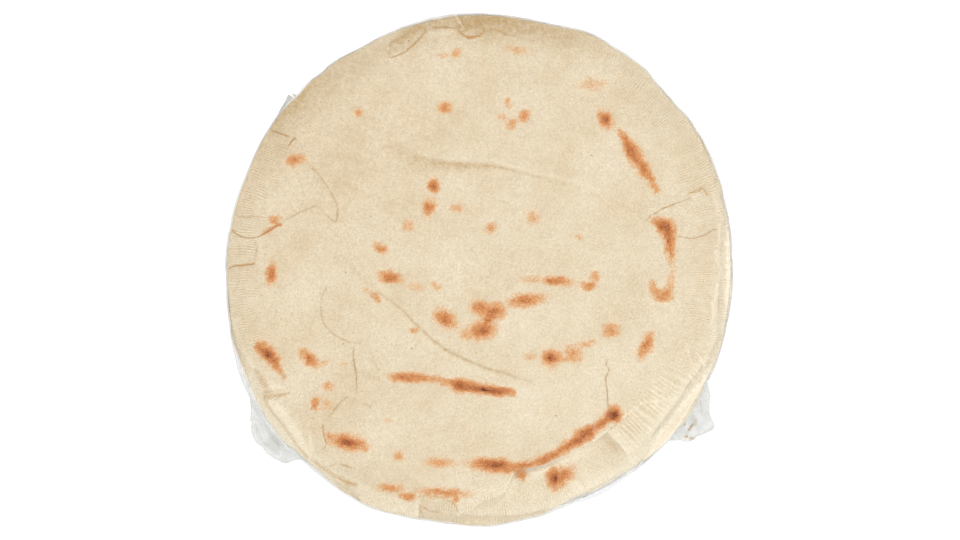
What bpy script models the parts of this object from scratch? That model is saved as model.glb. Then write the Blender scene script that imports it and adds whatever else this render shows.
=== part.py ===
"""A sealed pack of thin round crisp flatbread, lying flat with its best side up.

Seven brittle sheets are stacked tight in a clear film bag. The film pulls the rims of the
upper sheets down, so the side of the pack is a flight of thin steps. The top sheet is
creased and its rim is chipped. Two corners of the bag stick out as crumpled flaps.
Metres, +Z up. The origin is the middle of the underside. Angles are in degrees,
anticlockwise from +X as seen from above.
"""

import math
from dataclasses import dataclass

import bmesh
import bpy

MM = 0.001
NAME = "flatbread_pack"

# ---------------------------------------------------------------- driving dimensions
PACK_HEIGHT = 22.0 * MM
SHEET_WALL = 1.2 * MM
SHEET_PITCH = 3.35 * MM          # from one sheet's top to the next, in the flat middle
TOP_DROP = 8.0 * MM              # how far the film pulls the top sheet's rim down
DROP_STEP = 1.35 * MM            # and how much less each sheet below it
BEND_WIDTH = 30.0 * MM           # how far in from the outline the rims start to turn down
BEND_POWER = 2.1
GROOVE_DEPTH = 3.5 * MM          # how far the gap between two edges goes in
LIP_SLANT = 0.3 * MM             # how much an edge's upper corner stands back
UNDERSIDE_RADIUS = 141.0 * MM
RAYS = 144                       # steps of the turned form
CENTRE = (-0.38 * MM, -0.10 * MM)  # middle of the whole outline, which is moved to the origin

# Plateau rings of the top sheet, as shares of the way out to its edge.
PLATEAU_RINGS = (0.0, 0.22, 0.44, 0.64, 0.80, 0.875, 0.92, 0.955, 0.98)
# Rings of the second sheet where it shows past the top one, as shares of that ledge.
LEDGE_RINGS = (0.12, 0.5, 0.8)
OUTLINE_SHEET = 2                # the sheet that the bend of all of them follows


@dataclass(frozen=True)
class Swell:
    """A smooth change of a sheet's radius around one angle."""

    angle: float
    out: float
    half_width: float


@dataclass(frozen=True)
class Chip:
    """A stretch of a rim that has broken off, back to a smaller radius."""

    start: float
    end: float
    radius: float


@dataclass(frozen=True)
class Sheet:
    """One sheet: its usual radius, how it departs from a circle, and its broken places."""

    radius: float
    swells: tuple
    chips: tuple
    ripple_phase: float


SHEETS = (
    Sheet(
        147.2 * MM,
        (
            Swell(58, 5.0 * MM, 40), Swell(356, -4.0 * MM, 32), Swell(135, 2.4 * MM, 26),
            Swell(178, -2.0 * MM, 18), Swell(222, 5.8 * MM, 24), Swell(254, -3.2 * MM, 14),
            Swell(322, -4.6 * MM, 26),
        ),
        (
            Chip(104.0, 113.5, 138.5 * MM), Chip(88.6, 95.4, 139.4 * MM),
            Chip(80.5, 86.5, 142.2 * MM), Chip(268.0, 274.5, 138.2 * MM),
            Chip(274.5, 280.4, 133.2 * MM), Chip(280.4, 308.4, 122.6 * MM),
        ),
        0.4,
    ),
    Sheet(
        149.4 * MM,
        (
            Swell(57, 4.2 * MM, 30), Swell(205, 3.2 * MM, 22), Swell(240, 3.4 * MM, 16),
            Swell(258, -4.4 * MM, 12), Swell(160, -1.8 * MM, 14),
        ),
        (Chip(286.5, 290.5, 146.0 * MM),),
        1.9,
    ),
    Sheet(
        151.9 * MM,
        (
            Swell(63, 4.2 * MM, 17), Swell(30, 2.4 * MM, 10), Swell(104, 2.8 * MM, 11),
            Swell(160, -2.6 * MM, 14), Swell(204, 3.8 * MM, 18), Swell(245, 4.6 * MM, 13),
            Swell(270, 1.4 * MM, 9), Swell(295, -4.6 * MM, 18), Swell(350, -0.9 * MM, 20),
        ),
        (),
        3.3,
    ),
    Sheet(
        151.4 * MM,
        (
            Swell(50, 2.6 * MM, 26), Swell(222, 4.2 * MM, 12), Swell(296, -4.0 * MM, 20),
            Swell(118, -1.2 * MM, 12), Swell(160, -1.4 * MM, 14),
        ),
        (),
        4.1,
    ),
    Sheet(
        150.8 * MM,
        (
            Swell(15, 0.9 * MM, 20), Swell(90, 2.4 * MM, 14), Swell(192, 3.0 * MM, 14),
            Swell(292, -3.4 * MM, 20),
        ),
        (),
        5.2,
    ),
    Sheet(
        150.1 * MM,
        (Swell(72, 3.4 * MM, 20), Swell(232, 2.8 * MM, 22), Swell(294, -2.2 * MM, 20)),
        (),
        0.9,
    ),
    Sheet(
        148.6 * MM,
        (Swell(40, 1.6 * MM, 30), Swell(148, 2.0 * MM, 24), Swell(265, 2.2 * MM, 24)),
        (),
        2.6,
    ),
)

# Ripple of every edge: cycles round the sheet and height.
RIPPLES = ((7, 0.30 * MM), (13, 0.25 * MM), (22, 0.22 * MM))


@dataclass(frozen=True)
class Flap:
    """A crumpled corner of the film bag: its outline by angle and radius, and its folds."""

    outline: tuple
    height: float
    fold_height: float
    folds: float


FLAP_ROOT = 143.0 * MM
HUG_MARGIN = 6.0                 # degrees past a flap where the film still closes the gaps
HUG_FADE = 3.0
FLAP_THICKNESS = 1.1 * MM
FLAPS = (
    Flap(
        (
            (207.5, 153.5 * MM), (209.6, 158.4 * MM), (213.0, 164.6 * MM), (216.4, 169.2 * MM),
            (220.0, 168.8 * MM), (223.4, 166.3 * MM), (225.4, 163.6 * MM), (226.6, 158.0 * MM),
            (229.0, 154.5 * MM),
        ),
        5.6 * MM, 2.0 * MM, 3.5,
    ),
    Flap(
        (
            (316.0, 151.0 * MM), (319.6, 158.4 * MM), (321.0, 163.2 * MM), (322.6, 163.9 * MM),
            (325.4, 169.8 * MM), (326.8, 168.9 * MM), (330.2, 159.3 * MM), (334.5, 153.0 * MM),
        ),
        5.4 * MM, 2.0 * MM, 3.0,
    ),
)


@dataclass(frozen=True)
class Crease:
    """A long fold across the top sheet: the points it passes, and its width and height."""

    points: tuple
    half_width: float
    height: float


# The points are places on the sheet as x and y in millimetres.
VALLEY = Crease(
    ((-53, 74), (-38, 69), (-22, 65), (4, 64), (29, 59), (54, 52), (77, 43), (95, 33), (99, 29)),
    1.9 * MM, 0.9 * MM,
)
RIDGES = (
    Crease(
        ((-77, 1), (-66, -8), (-48, -23), (-38, -33), (-20, -48), (-8, -54), (17, -62), (38, -68)),
        1.9 * MM, 0.7 * MM,
    ),
    Crease(((-30, -50), (-24, -50), (-14, -51)), 1.5 * MM, 0.5 * MM),
)


@dataclass(frozen=True)
class Flake:
    """A loose piece of the top sheet's rim that stands a little above its neighbours."""

    start: float
    end: float
    inner: float
    outer: float
    lift: float


# The last number is how far the broken end of the flake, at its start angle, stands up.
FLAKES = (
    Flake(308.7, 328.0, 126.0 * MM, 142.2 * MM, 1.5 * MM),
    Flake(178.0, 187.6, 128.0 * MM, 145.0 * MM, 0.9 * MM),
    Flake(96.0, 103.4, 133.5 * MM, 148.0 * MM, 1.0 * MM),
    Flake(19.5, 26.0, 124.0 * MM, 145.5 * MM, 0.7 * MM),
)
FLAKE_THICKNESS = 1.2 * MM


# ---------------------------------------------------------------- the form as functions
def bump(distance, half_width):
    """Smooth hill of height 1 that ends at half_width, 0 beyond it."""
    share = min(abs(distance) / half_width, 1.0)
    return 0.5 + 0.5 * math.cos(math.pi * share)


def turn_between(angle, other):
    """Signed difference of two angles, in degrees from -180 to 180."""
    return (angle - other + 180.0) % 360.0 - 180.0


def chip_at(sheet, angle):
    """The chip that this angle falls in, or None."""
    for chip in sheet.chips:
        if chip.start < angle % 360.0 < chip.end:
            return chip
    return None


def whole_radius(sheet, angle):
    """Radius of a sheet's rim before a chip broke off."""
    radius = sheet.radius
    for swell in sheet.swells:
        radius += swell.out * bump(turn_between(angle, swell.angle), swell.half_width)
    return radius


def plain_radius(sheet, angle):
    """Radius of a sheet's edge without its ripple."""
    chip = chip_at(sheet, angle)
    return chip.radius if chip else whole_radius(sheet, angle)


def edge_radius(sheet, angle):
    """Radius of a sheet's edge in one direction."""
    radius = plain_radius(sheet, angle)
    for cycles, height in RIPPLES:
        radius += height * math.sin(math.radians(cycles * angle) + sheet.ripple_phase * cycles)
    return radius


def surface_height(index, radius, angle):
    """Height of a sheet's upper face: flat in the middle, and nested in the others' bend."""
    outline = whole_radius(SHEETS[OUTLINE_SHEET], angle)
    into_bend = max(0.0, (radius - outline + BEND_WIDTH) / BEND_WIDTH)
    drop = TOP_DROP - index * DROP_STEP
    return PACK_HEIGHT - index * SHEET_PITCH - drop * into_bend ** BEND_POWER


def snapped_angle(angle):
    """Pull the ray on each side of a chip's end close to it, so that the break is steep."""
    step = 360.0 / RAYS
    for chip in SHEETS[0].chips:
        for end in (chip.start, chip.end):
            gap = turn_between(angle, end)
            if abs(gap) <= 0.5 * step:
                return end + math.copysign(0.12 * step, gap)
    return angle


def film_hug(index, angle):
    """1 at the lower sheets beside a flap, where its film closes the gaps, else 0."""
    hug = 0.0
    if index < OUTLINE_SHEET:
        return hug
    for flap in FLAPS:
        first, last = flap.outline[0][0], flap.outline[-1][0]
        outside = abs(turn_between(angle, 0.5 * (first + last))) - 0.5 * (last - first)
        hug = max(hug, min(1.0, (HUG_MARGIN - outside) / HUG_FADE))
    return hug


def stations():
    """The turned profile, top middle to bottom middle, as (sheet, kind, share) marks."""
    marks = [(0, "face", share) for share in PLATEAU_RINGS]
    for index in range(len(SHEETS)):
        if index == 1:
            marks += [(index, "ledge", share) for share in LEDGE_RINGS]
        marks += [(index, "lip", 0.0), (index, "lip", 1.0)]
        if index < len(SHEETS) - 1:
            marks += [(index, "groove", 0.5)]
    return marks + [(len(SHEETS) - 1, "foot", 1.0), (len(SHEETS) - 1, "foot", 0.0)]


def lip_place(index, share, angle):
    """Upper (share 0) or lower (share 1) corner of a sheet's edge, as radius and height."""
    hug = film_hug(index, angle)
    own = surface_height(index, plain_radius(SHEETS[index], angle), angle)
    even = surface_height(index, whole_radius(SHEETS[OUTLINE_SHEET], angle), angle)
    height = (1.0 - hug) * own + hug * even
    return edge_radius(SHEETS[index], angle) - LIP_SLANT * (1.0 - share), height - SHEET_WALL * share


def groove_place(index, angle):
    """Deepest point of the gap under a sheet's edge, which the film closes beside a flap."""
    edge = edge_radius(SHEETS[index], angle)
    below = edge_radius(SHEETS[index + 1], angle)
    inner = min(edge, below) - GROOVE_DEPTH
    roof = surface_height(index, inner, angle) - SHEET_WALL
    floor = surface_height(index + 1, inner, angle)
    outer = max(edge, below) + 0.15 * MM
    lintel = lip_place(index, 1.0, angle)[1]
    sill = lip_place(index + 1, 0.0, angle)[1]
    hug = film_hug(index, angle)
    height = 0.5 * ((1.0 - hug) * (roof + floor) + hug * (lintel + sill))
    return inner + (outer - inner) * hug, height


def station_place(mark, angle):
    """Radius and height of one mark of the profile in one direction."""
    index, kind, share = mark
    if kind == "face":
        radius = edge_radius(SHEETS[index], angle) * share
        return radius, surface_height(index, radius, angle)
    if kind == "lip":
        return lip_place(index, share, angle)
    if kind == "groove":
        return groove_place(index, angle)
    if kind == "ledge":
        back = groove_place(index - 1, angle)[0]
        front = lip_place(index, 0.0, angle)[0]
        radius = back + (front - back) * share
        return radius, surface_height(index, radius, angle)
    return UNDERSIDE_RADIUS * share, 0.0


# ---------------------------------------------------------------- making
def clear_scene():
    """Remove every object that the scene starts with."""
    for item in list(bpy.data.objects):
        bpy.data.objects.remove(item, do_unlink=True)


def new_collection(name):
    """Make a collection in the scene."""
    collection = bpy.data.collections.new(name)
    bpy.context.scene.collection.children.link(collection)
    return collection


def new_object(name, mesh, collection):
    """Link a mesh to the scene as an object."""
    item = bpy.data.objects.new(name, mesh)
    collection.objects.link(item)
    return item


def bake(item):
    """Apply an object's modifiers to its mesh."""
    evaluated = item.evaluated_get(bpy.context.evaluated_depsgraph_get())
    mesh = bpy.data.meshes.new_from_object(evaluated)
    item.modifiers.clear()
    item.data = mesh


def turned_stack(collection):
    """The stack in its film, turned from a profile and then given its real, uneven outline."""
    marks = stations()
    profile = bpy.data.meshes.new(NAME)
    places = [station_place(mark, 0.0) for mark in marks]
    edges = [(i, i + 1) for i in range(len(places) - 1)]
    profile.from_pydata([(radius, 0.0, height) for radius, height in places], edges, [])
    stack = new_object(NAME, profile, collection)
    screw = stack.modifiers.new("turn", "SCREW")
    screw.axis = "Z"
    screw.steps = screw.render_steps = RAYS
    screw.use_merge_vertices = True
    screw.merge_threshold = 0.01 * MM
    bake(stack)

    for vertex in stack.data.vertices:
        radius = math.hypot(vertex.co.x, vertex.co.y)
        nearest = min(
            range(len(places)),
            key=lambda i: abs(places[i][0] - radius) + abs(places[i][1] - vertex.co.z),
        )
        angle = snapped_angle(math.degrees(math.atan2(vertex.co.y, vertex.co.x)))
        radius, height = station_place(marks[nearest], angle)
        turn = math.radians(angle)
        vertex.co = (radius * math.cos(turn), radius * math.sin(turn), height)

    flat = bmesh.new()
    flat.from_mesh(stack.data)
    underside = [face for face in flat.faces if all(abs(v.co.z) < 0.01 * MM for v in face.verts)]
    bmesh.ops.dissolve_faces(flat, faces=underside, use_verts=True)
    flat.to_mesh(stack.data)
    flat.free()
    return stack


def thick_patch(name, columns, rows, thickness, place, collection):
    """A thin closed plate: a grid of columns by rows laid out by place(u, v), then thickened."""
    grid = bmesh.new()
    bmesh.ops.create_grid(grid, x_segments=columns, y_segments=rows, size=0.5)
    for vertex in grid.verts:
        vertex.co = place(vertex.co.x + 0.5, vertex.co.y + 0.5)
    bmesh.ops.recalc_face_normals(grid, faces=grid.faces)
    mesh = bpy.data.meshes.new(name)
    grid.to_mesh(mesh)
    grid.free()
    patch = new_object(name, mesh, collection)
    wall = patch.modifiers.new("wall", "SOLIDIFY")
    wall.thickness = thickness
    wall.offset = 0.0
    bake(patch)
    return patch


def outline_at(outline, angle):
    """Radius of a flap's outline, straight between its corners."""
    for (left, near), (right, far) in zip(outline, outline[1:]):
        if angle <= right:
            return near + (far - near) * (angle - left) / (right - left)
    return outline[-1][1]


def flap_plate(number, flap, collection):
    """A corner of the bag, folded like a fan and thinning to its outline."""
    first, last = flap.outline[0][0], flap.outline[-1][0]

    def place(u, v):
        angle = first + (last - first) * u
        radius = FLAP_ROOT + (outline_at(flap.outline, angle) - FLAP_ROOT) * v
        fold = math.sin(2.0 * math.pi * flap.folds * u + 1.7 * v)
        height = flap.height + flap.fold_height * fold * v - 2.2 * MM * v
        turn = math.radians(angle)
        return radius * math.cos(turn), radius * math.sin(turn), height

    return thick_patch(f"flap_{number}", 22, 5, FLAP_THICKNESS, place, collection)


def flake_plate(number, flake, collection):
    """A loose piece of rim, resting on the top sheet with its broken end up."""

    def place(u, v):
        angle = flake.start + (flake.end - flake.start) * u
        radius = flake.inner + (flake.outer - flake.inner) * v
        lift = flake.lift * (1.0 - u) * (0.35 + 0.65 * v)
        height = surface_height(0, radius, angle) - 0.5 * FLAKE_THICKNESS + 0.25 * MM + lift
        turn = math.radians(angle)
        return radius * math.cos(turn), radius * math.sin(turn), height

    return thick_patch(f"flake_{number}", 6, 4, FLAKE_THICKNESS, place, collection)


def crease_bead(name, crease, collection):
    """A bead along a crease, flattened to its height, with its middle in the sheet's face."""
    curve = bpy.data.curves.new(name, "CURVE")
    curve.dimensions = "3D"
    curve.bevel_depth = crease.half_width
    curve.bevel_resolution = 1
    curve.use_fill_caps = True
    spline = curve.splines.new("POLY")
    spline.points.add(len(crease.points) - 1)
    last = len(crease.points) - 1
    for index, (x, y) in enumerate(crease.points):
        spline.points[index].co = (x * MM, y * MM, 0.0, 1.0)
        spline.points[index].radius = 0.35 if index in (0, last) else 1.0
    bead = new_object(name, curve, collection)
    bpy.context.view_layer.update()
    evaluated = bead.evaluated_get(bpy.context.evaluated_depsgraph_get())
    mesh = bpy.data.meshes.new_from_object(evaluated)
    bpy.data.objects.remove(bead)
    welded = bmesh.new()
    welded.from_mesh(mesh)
    bmesh.ops.remove_doubles(welded, verts=welded.verts, dist=0.01 * MM)
    flatten = crease.height / crease.half_width
    for vertex in welded.verts:
        vertex.co.z = PACK_HEIGHT + vertex.co.z * flatten
    bmesh.ops.recalc_face_normals(welded, faces=welded.faces)
    welded.to_mesh(mesh)
    welded.free()
    return new_object(name, mesh, collection)


def combine(stack, helpers, operation, solver):
    """Join or cut the stack by every object of a collection, and remove those objects."""
    boolean = stack.modifiers.new(operation.lower(), "BOOLEAN")
    boolean.operation = operation
    boolean.solver = solver
    boolean.operand_type = "COLLECTION"
    boolean.collection = helpers
    bake(stack)
    for item in list(helpers.objects):
        bpy.data.objects.remove(item)
    bpy.data.collections.remove(helpers)


def centre_outline(stack):
    """Move the middle of the outline to the origin."""
    for vertex in stack.data.vertices:
        vertex.co.x -= CENTRE[0]
        vertex.co.y -= CENTRE[1]


def bread_material():
    """Pale toasted crispbread seen through clear film."""
    material = bpy.data.materials.new("toasted_flatbread")
    material.use_nodes = True
    shader = material.node_tree.nodes["Principled BSDF"]
    shader.inputs["Base Color"].default_value = (0.80, 0.69, 0.47, 1.0)
    shader.inputs["Roughness"].default_value = 0.7
    shader.inputs["Metallic"].default_value = 0.0
    return material


def build():
    """Make the pack."""
    clear_scene()
    pack = new_collection(NAME)
    stack = turned_stack(pack)

    added = new_collection("added")
    for number, flap in enumerate(FLAPS, start=1):
        flap_plate(number, flap, added)
    for number, flake in enumerate(FLAKES, start=1):
        flake_plate(number, flake, added)
    for number, ridge in enumerate(RIDGES, start=1):
        crease_bead(f"ridge_{number}", ridge, added)
    combine(stack, added, "UNION", "EXACT")

    cutters = new_collection("cutters")
    groove = crease_bead("valley", VALLEY, cutters)
    groove.hide_render = True
    groove.display_type = "WIRE"
    combine(stack, cutters, "DIFFERENCE", "EXACT")

    centre_outline(stack)
    stack.data.materials.clear()
    stack.data.materials.append(bread_material())
    stack.data.shade_smooth()
    stack.data.set_sharp_from_angle(angle=math.radians(35.0))


build()
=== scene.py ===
"""Looks of a sealed pack of thin crisp flatbread, seen from straight above.

Seven baked sheets lie in a clear film bag. Each sheet is a disc of rings that is shaped by
functions of place: the bend of its rim, its folds, its broken edges. Its crust is painted
into a colour attribute (scorch, toast, ribs, flour, with painted shade and painted light
in toast and ribs) that one material reads. The bag is a closed skin laid over the sheets,
with two crumpled corners.
Metres, +Z up. Places on the bread are named in pixels of the reference view, through
VIEW, and angles are in degrees, anticlockwise from +X as seen from above.
"""

import logging
import math
from contextlib import contextmanager
from dataclasses import dataclass, field
from enum import Enum
from typing import Callable, Iterable, Iterator, Optional

import bpy
import numpy as np
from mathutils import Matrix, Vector
from mathutils.bvhtree import BVHTree

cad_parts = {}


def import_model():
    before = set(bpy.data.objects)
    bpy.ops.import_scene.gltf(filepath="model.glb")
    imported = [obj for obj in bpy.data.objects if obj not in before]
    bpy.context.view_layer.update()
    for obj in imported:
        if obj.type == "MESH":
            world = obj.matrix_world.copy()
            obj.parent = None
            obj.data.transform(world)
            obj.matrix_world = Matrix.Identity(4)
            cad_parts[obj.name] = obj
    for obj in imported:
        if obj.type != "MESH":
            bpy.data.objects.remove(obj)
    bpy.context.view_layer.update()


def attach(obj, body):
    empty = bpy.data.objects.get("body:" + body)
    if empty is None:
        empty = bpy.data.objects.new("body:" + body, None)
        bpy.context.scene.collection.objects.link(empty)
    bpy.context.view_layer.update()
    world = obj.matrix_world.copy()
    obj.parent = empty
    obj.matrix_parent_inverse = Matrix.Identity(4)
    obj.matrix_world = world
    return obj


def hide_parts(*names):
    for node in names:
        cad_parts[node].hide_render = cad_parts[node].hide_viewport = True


LOG = logging.getLogger("flatbread")
MM = 0.001
NODE = "flatbread_pack"
BODY = "root"

Points = np.ndarray
Bands = tuple[tuple[float, float, int], ...]
Piece = bpy.types.Object
Material = bpy.types.Material
NodeTree = bpy.types.NodeTree
Socket = bpy.types.NodeSocket


# ------------------------------------------------------------------ places and outlines
@dataclass(frozen=True)
class View:
    """How the pixels of the reference view lie on the part, which is seen from above."""

    pixel: float = 0.6 * MM
    middle: tuple[float, float] = (480.0, 270.0)
    shift: tuple[float, float] = (0.38 * MM, 0.10 * MM)

    def place(self, pixels: Iterable[tuple[float, float]]) -> Points:
        """Turn pixels into metres from the middle of the view.

        Args:
            pixels: Places in the 960 x 540 view.

        Returns:
            One row of x and y for each place.
        """
        spots = np.asarray(list(pixels), dtype=float)
        return (spots - self.middle) * (self.pixel, -self.pixel)


VIEW = View()


def turn_between(angle: Points, other: float) -> Points:
    """Return the signed turn from other to angle, in degrees from -180 to 180."""
    return (angle - other + 180.0) % 360.0 - 180.0


def bump(distance: Points, half_width: float) -> Points:
    """Return a smooth hump: 1 where distance is 0, and 0 from half_width on."""
    return 0.5 + 0.5 * np.cos(np.pi * np.minimum(np.abs(distance) / half_width, 1.0))


def smooth(value: Points, low: float, high: float) -> Points:
    """Return 0 below low and 1 above high, with a smooth way between."""
    share = np.clip((value - low) / (high - low), 0.0, 1.0)
    return share * share * (3.0 - 2.0 * share)


@dataclass(frozen=True)
class Swell:
    """A smooth change of a radius around one angle."""

    angle: float
    out: float
    half_width: float

    def at(self, angle: Points) -> Points:
        """Return how far the radius moves out at each angle."""
        return self.out * bump(turn_between(angle, self.angle), self.half_width)


@dataclass(frozen=True)
class Outline:
    """The edge of one sheet: a usual radius and its departures from a circle."""

    radius: float
    swells: tuple[Swell, ...]
    phase: float
    ripples: tuple[tuple[int, float], ...] = (
        (7, 0.30 * MM), (13, 0.25 * MM), (22, 0.22 * MM), (61, 0.10 * MM), (97, 0.08 * MM),
    )

    def even(self, angle: Points) -> Points:
        """Return the radius at each angle without the small ripples."""
        return self.radius + sum(swell.at(angle) for swell in self.swells)

    def edge(self, angle: Points) -> Points:
        """Return the radius at each angle with the ripples of a baked edge."""
        wobble = sum(
            height * np.sin(np.radians(cycles * angle) + self.phase * cycles)
            for cycles, height in self.ripples
        )
        return self.even(angle) + wobble


OUTLINES = (
    Outline(149.0 * MM, (
        Swell(58, 4.0 * MM, 40), Swell(356, -5.8 * MM, 32), Swell(135, 1.6 * MM, 26),
        Swell(232, 5.5 * MM, 40), Swell(322, -6.4 * MM, 26),
    ), 0.4),
    Outline(150.9 * MM, (
        Swell(57, 4.0 * MM, 30), Swell(215, 7.8 * MM, 27), Swell(238, 5.0 * MM, 16),
        Swell(265, -3.6 * MM, 16), Swell(160, -1.8 * MM, 14), Swell(318, 1.4 * MM, 30),
    ), 1.9),
    Outline(152.4 * MM, (
        Swell(30, 2.6 * MM, 18), Swell(58, 4.5 * MM, 22), Swell(66, 1.3 * MM, 8),
        Swell(90, 1.5 * MM, 26), Swell(102, 1.3 * MM, 10), Swell(118, -0.9 * MM, 6),
        Swell(139, 0.4 * MM, 15), Swell(158, -0.8 * MM, 10), Swell(206, 5.4 * MM, 22),
        Swell(241, 4.4 * MM, 28), Swell(270, 2.2 * MM, 12), Swell(290, -2.2 * MM, 8),
        Swell(348, -0.6 * MM, 14), Swell(326, 1.8 * MM, 10), Swell(300, 0.9 * MM, 5),
        Swell(246, 0.8 * MM, 6), Swell(136.0, -0.8 * MM, 3),
        Swell(129, -0.6 * MM, 3), Swell(36, 0.8 * MM, 4), Swell(20, 0.8 * MM, 5),
        Swell(51, 0.8 * MM, 4), Swell(59, -0.7 * MM, 3.5), Swell(108, 0.5 * MM, 4),
    ), 3.3),
    Outline(151.9 * MM, (
        Swell(50, 2.6 * MM, 26), Swell(222, 4.2 * MM, 12), Swell(296, -3.0 * MM, 20),
        Swell(118, -1.2 * MM, 12), Swell(160, -1.4 * MM, 14), Swell(241, 2.6 * MM, 20),
    ), 4.1),
    Outline(151.4 * MM, (
        Swell(15, 0.9 * MM, 20), Swell(90, 2.0 * MM, 14), Swell(192, 3.0 * MM, 14),
        Swell(292, -3.0 * MM, 20),
    ), 5.2),
    Outline(150.6 * MM, (
        Swell(72, 3.4 * MM, 20), Swell(232, 2.8 * MM, 22), Swell(294, -2.2 * MM, 20),
    ), 0.9),
    Outline(149.0 * MM, (
        Swell(40, 1.6 * MM, 30), Swell(148, 2.0 * MM, 24), Swell(265, 2.2 * MM, 24),
    ), 2.6),
)

# Where the bag stands off from the bread, and how far.
SLACK = (
    Swell(206, 3.2 * MM, 13), Swell(228, 1.0 * MM, 12), Swell(299, 3.0 * MM, 18),
    Swell(216, 0.9 * MM, 6), Swell(136, 0.7 * MM, 6), Swell(98, 0.6 * MM, 12),
    Swell(172, 0.6 * MM, 26),
)
FILM_GAP = 0.95 * MM             # between the bread and the film that touches it
# How milky the side of the bag is at each angle, partly its haze and partly painted
# reflection, and what share of that is lost where the bag stands off far.
SIDE_HAZE_AND_REFLECTION_AT = (
    (0, 0.80), (180, 0.80), (200, 0.86), (218, 0.86), (240, 0.80), (280, 0.78), (288, 0.58),
    (294, 0.36), (300, 0.30), (305, 0.50), (311, 0.80),
)
CLEARING_AT = ((0, 0.60), (180, 0.60), (196, 0.40), (218, 0.40), (235, 0.60))


def slack_at(angle: Points) -> Points:
    """Return how far the bag stands off from the bread at each angle."""
    return FILM_GAP + sum(swell.at(angle) for swell in SLACK)


@dataclass(frozen=True)
class Stack:
    """How the sheets lie on each other and how the bag pulls their rims down."""

    height: float = 22.0 * MM
    wall: float = 1.2 * MM
    pitch: float = 3.35 * MM
    drop: float = 8.0 * MM
    squeeze: tuple[float, ...] = (0.0, 2.35, 4.65, 6.9, 8.1, 9.2, 10.2)
    squeeze_end: float = 0.75
    bend_width: float = 30.0 * MM
    bend_power: float = 2.1
    bend_outline: Outline = OUTLINES[2]

    def top(self, index: int, radius: Points, angle: Points) -> Points:
        """Return the height of a sheet's upper side.

        Args:
            index: Which sheet, from 0 at the top.
            radius: Distances from the middle of the pack.
            angle: Their angles.

        Returns:
            Heights above the underside of the pack.
        """
        start = self.bend_outline.even(angle) - self.bend_width
        share = np.maximum(0.0, (radius - start) / self.bend_width)
        level = self.height - index * self.pitch
        level = level + self.squeeze[index] * MM * smooth(share, 0.0, self.squeeze_end)
        return level - self.drop * share**self.bend_power


STACK = Stack()
NEAR_ROOM = 3.0 * MM             # the bag presses the top sheet out to it from this near,
FAR_ROOM = 10.0 * MM             # and leaves it as it is from this far


def drawn_out(angle: Points) -> Points:
    """Return the radius of the top sheet with its film, pressed out to the bag."""
    outer = STACK.bend_outline.even(angle)
    room = np.maximum(outer - OUTLINES[0].edge(angle), 0.0)
    return outer - room * smooth(room, NEAR_ROOM, FAR_ROOM)


def polar(points: Points) -> tuple[Points, Points]:
    """Return the radius and the angle in degrees, 0 to 360, of each place."""
    radius = np.hypot(points[:, 0], points[:, 1])
    return radius, np.degrees(np.arctan2(points[:, 1], points[:, 0])) % 360.0


def on_plan(radius: Points, angle: Points) -> Points:
    """Return one row of x and y for each radius and angle in degrees."""
    turn = np.radians(angle)
    return np.column_stack((radius * np.cos(turn), radius * np.sin(turn)))


def along_line(points: Points, line: Points) -> tuple[Points, Points, Points]:
    """Measure places against a line of straight runs.

    Args:
        points: Places, one row each.
        line: The line's own points.

    Returns:
        Distance to the line, side of it (1 to the left of its way) and share of the way.
    """
    nearest = np.full(len(points), np.inf)
    side = np.zeros(len(points))
    way = np.zeros(len(points))
    start = 0.0
    for tail, head in zip(line[:-1], line[1:]):
        length = max(float(np.hypot(*(head - tail))), 1e-9)
        unit = (head - tail) / length
        offset = points - tail
        reach = np.clip(offset @ unit, 0.0, length)
        gap = np.hypot(*(offset - reach[:, None] * unit).T)
        closer = gap < nearest
        nearest = np.where(closer, gap, nearest)
        cross = unit[0] * offset[:, 1] - unit[1] * offset[:, 0]
        side = np.where(closer, np.sign(cross), side)
        way = np.where(closer, start + reach, way)
        start += length
    return nearest, side, way / start


def end_taper(way: Points, share: float = 0.14) -> Points:
    """Return 1 along the middle of a line, falling smoothly to 0 at both ends."""
    return smooth(np.minimum(way, 1.0 - way), 0.0, share)


# ------------------------------------------------------------------ relief of the bread
@dataclass(frozen=True)
class Swells2D:
    """Gentle unevenness of a baked sheet, as a sum of plane waves."""

    seed: int
    bands: Bands = (
        (62.0 * MM, 0.24 * MM, 6), (24.0 * MM, 0.075 * MM, 8), (10.0 * MM, 0.03 * MM, 9),
    )

    def at(self, points: Points) -> Points:
        """Return the height of the unevenness at each place."""
        rng = np.random.default_rng(self.seed)
        height = np.zeros(len(points))
        for length, size, count in self.bands:
            for _ in range(count):
                heading = rng.uniform(0.0, 2.0 * math.pi)
                phase = rng.uniform(0.0, 2.0 * math.pi)
                wave = length * rng.uniform(0.75, 1.35)
                across = points @ np.array((math.cos(heading), math.sin(heading)))
                height += size * np.sin(2.0 * math.pi * across / wave + phase)
        return height


@dataclass(frozen=True)
class Fold:
    """A long fold in a sheet, steeper on its left side than on its right."""

    pixels: tuple[tuple[float, float], ...]
    height: float
    left: float
    right: float
    power: float = 1.4

    def at(self, points: Points) -> Points:
        """Return the fold's height at each place, below 0 in a valley."""
        gap, side, way = along_line(points, VIEW.place(self.pixels))
        reach = np.where(side > 0, self.left, self.right)
        slope = np.maximum(0.0, 1.0 - gap / reach)
        return self.height * slope**self.power * end_taper(way)


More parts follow.
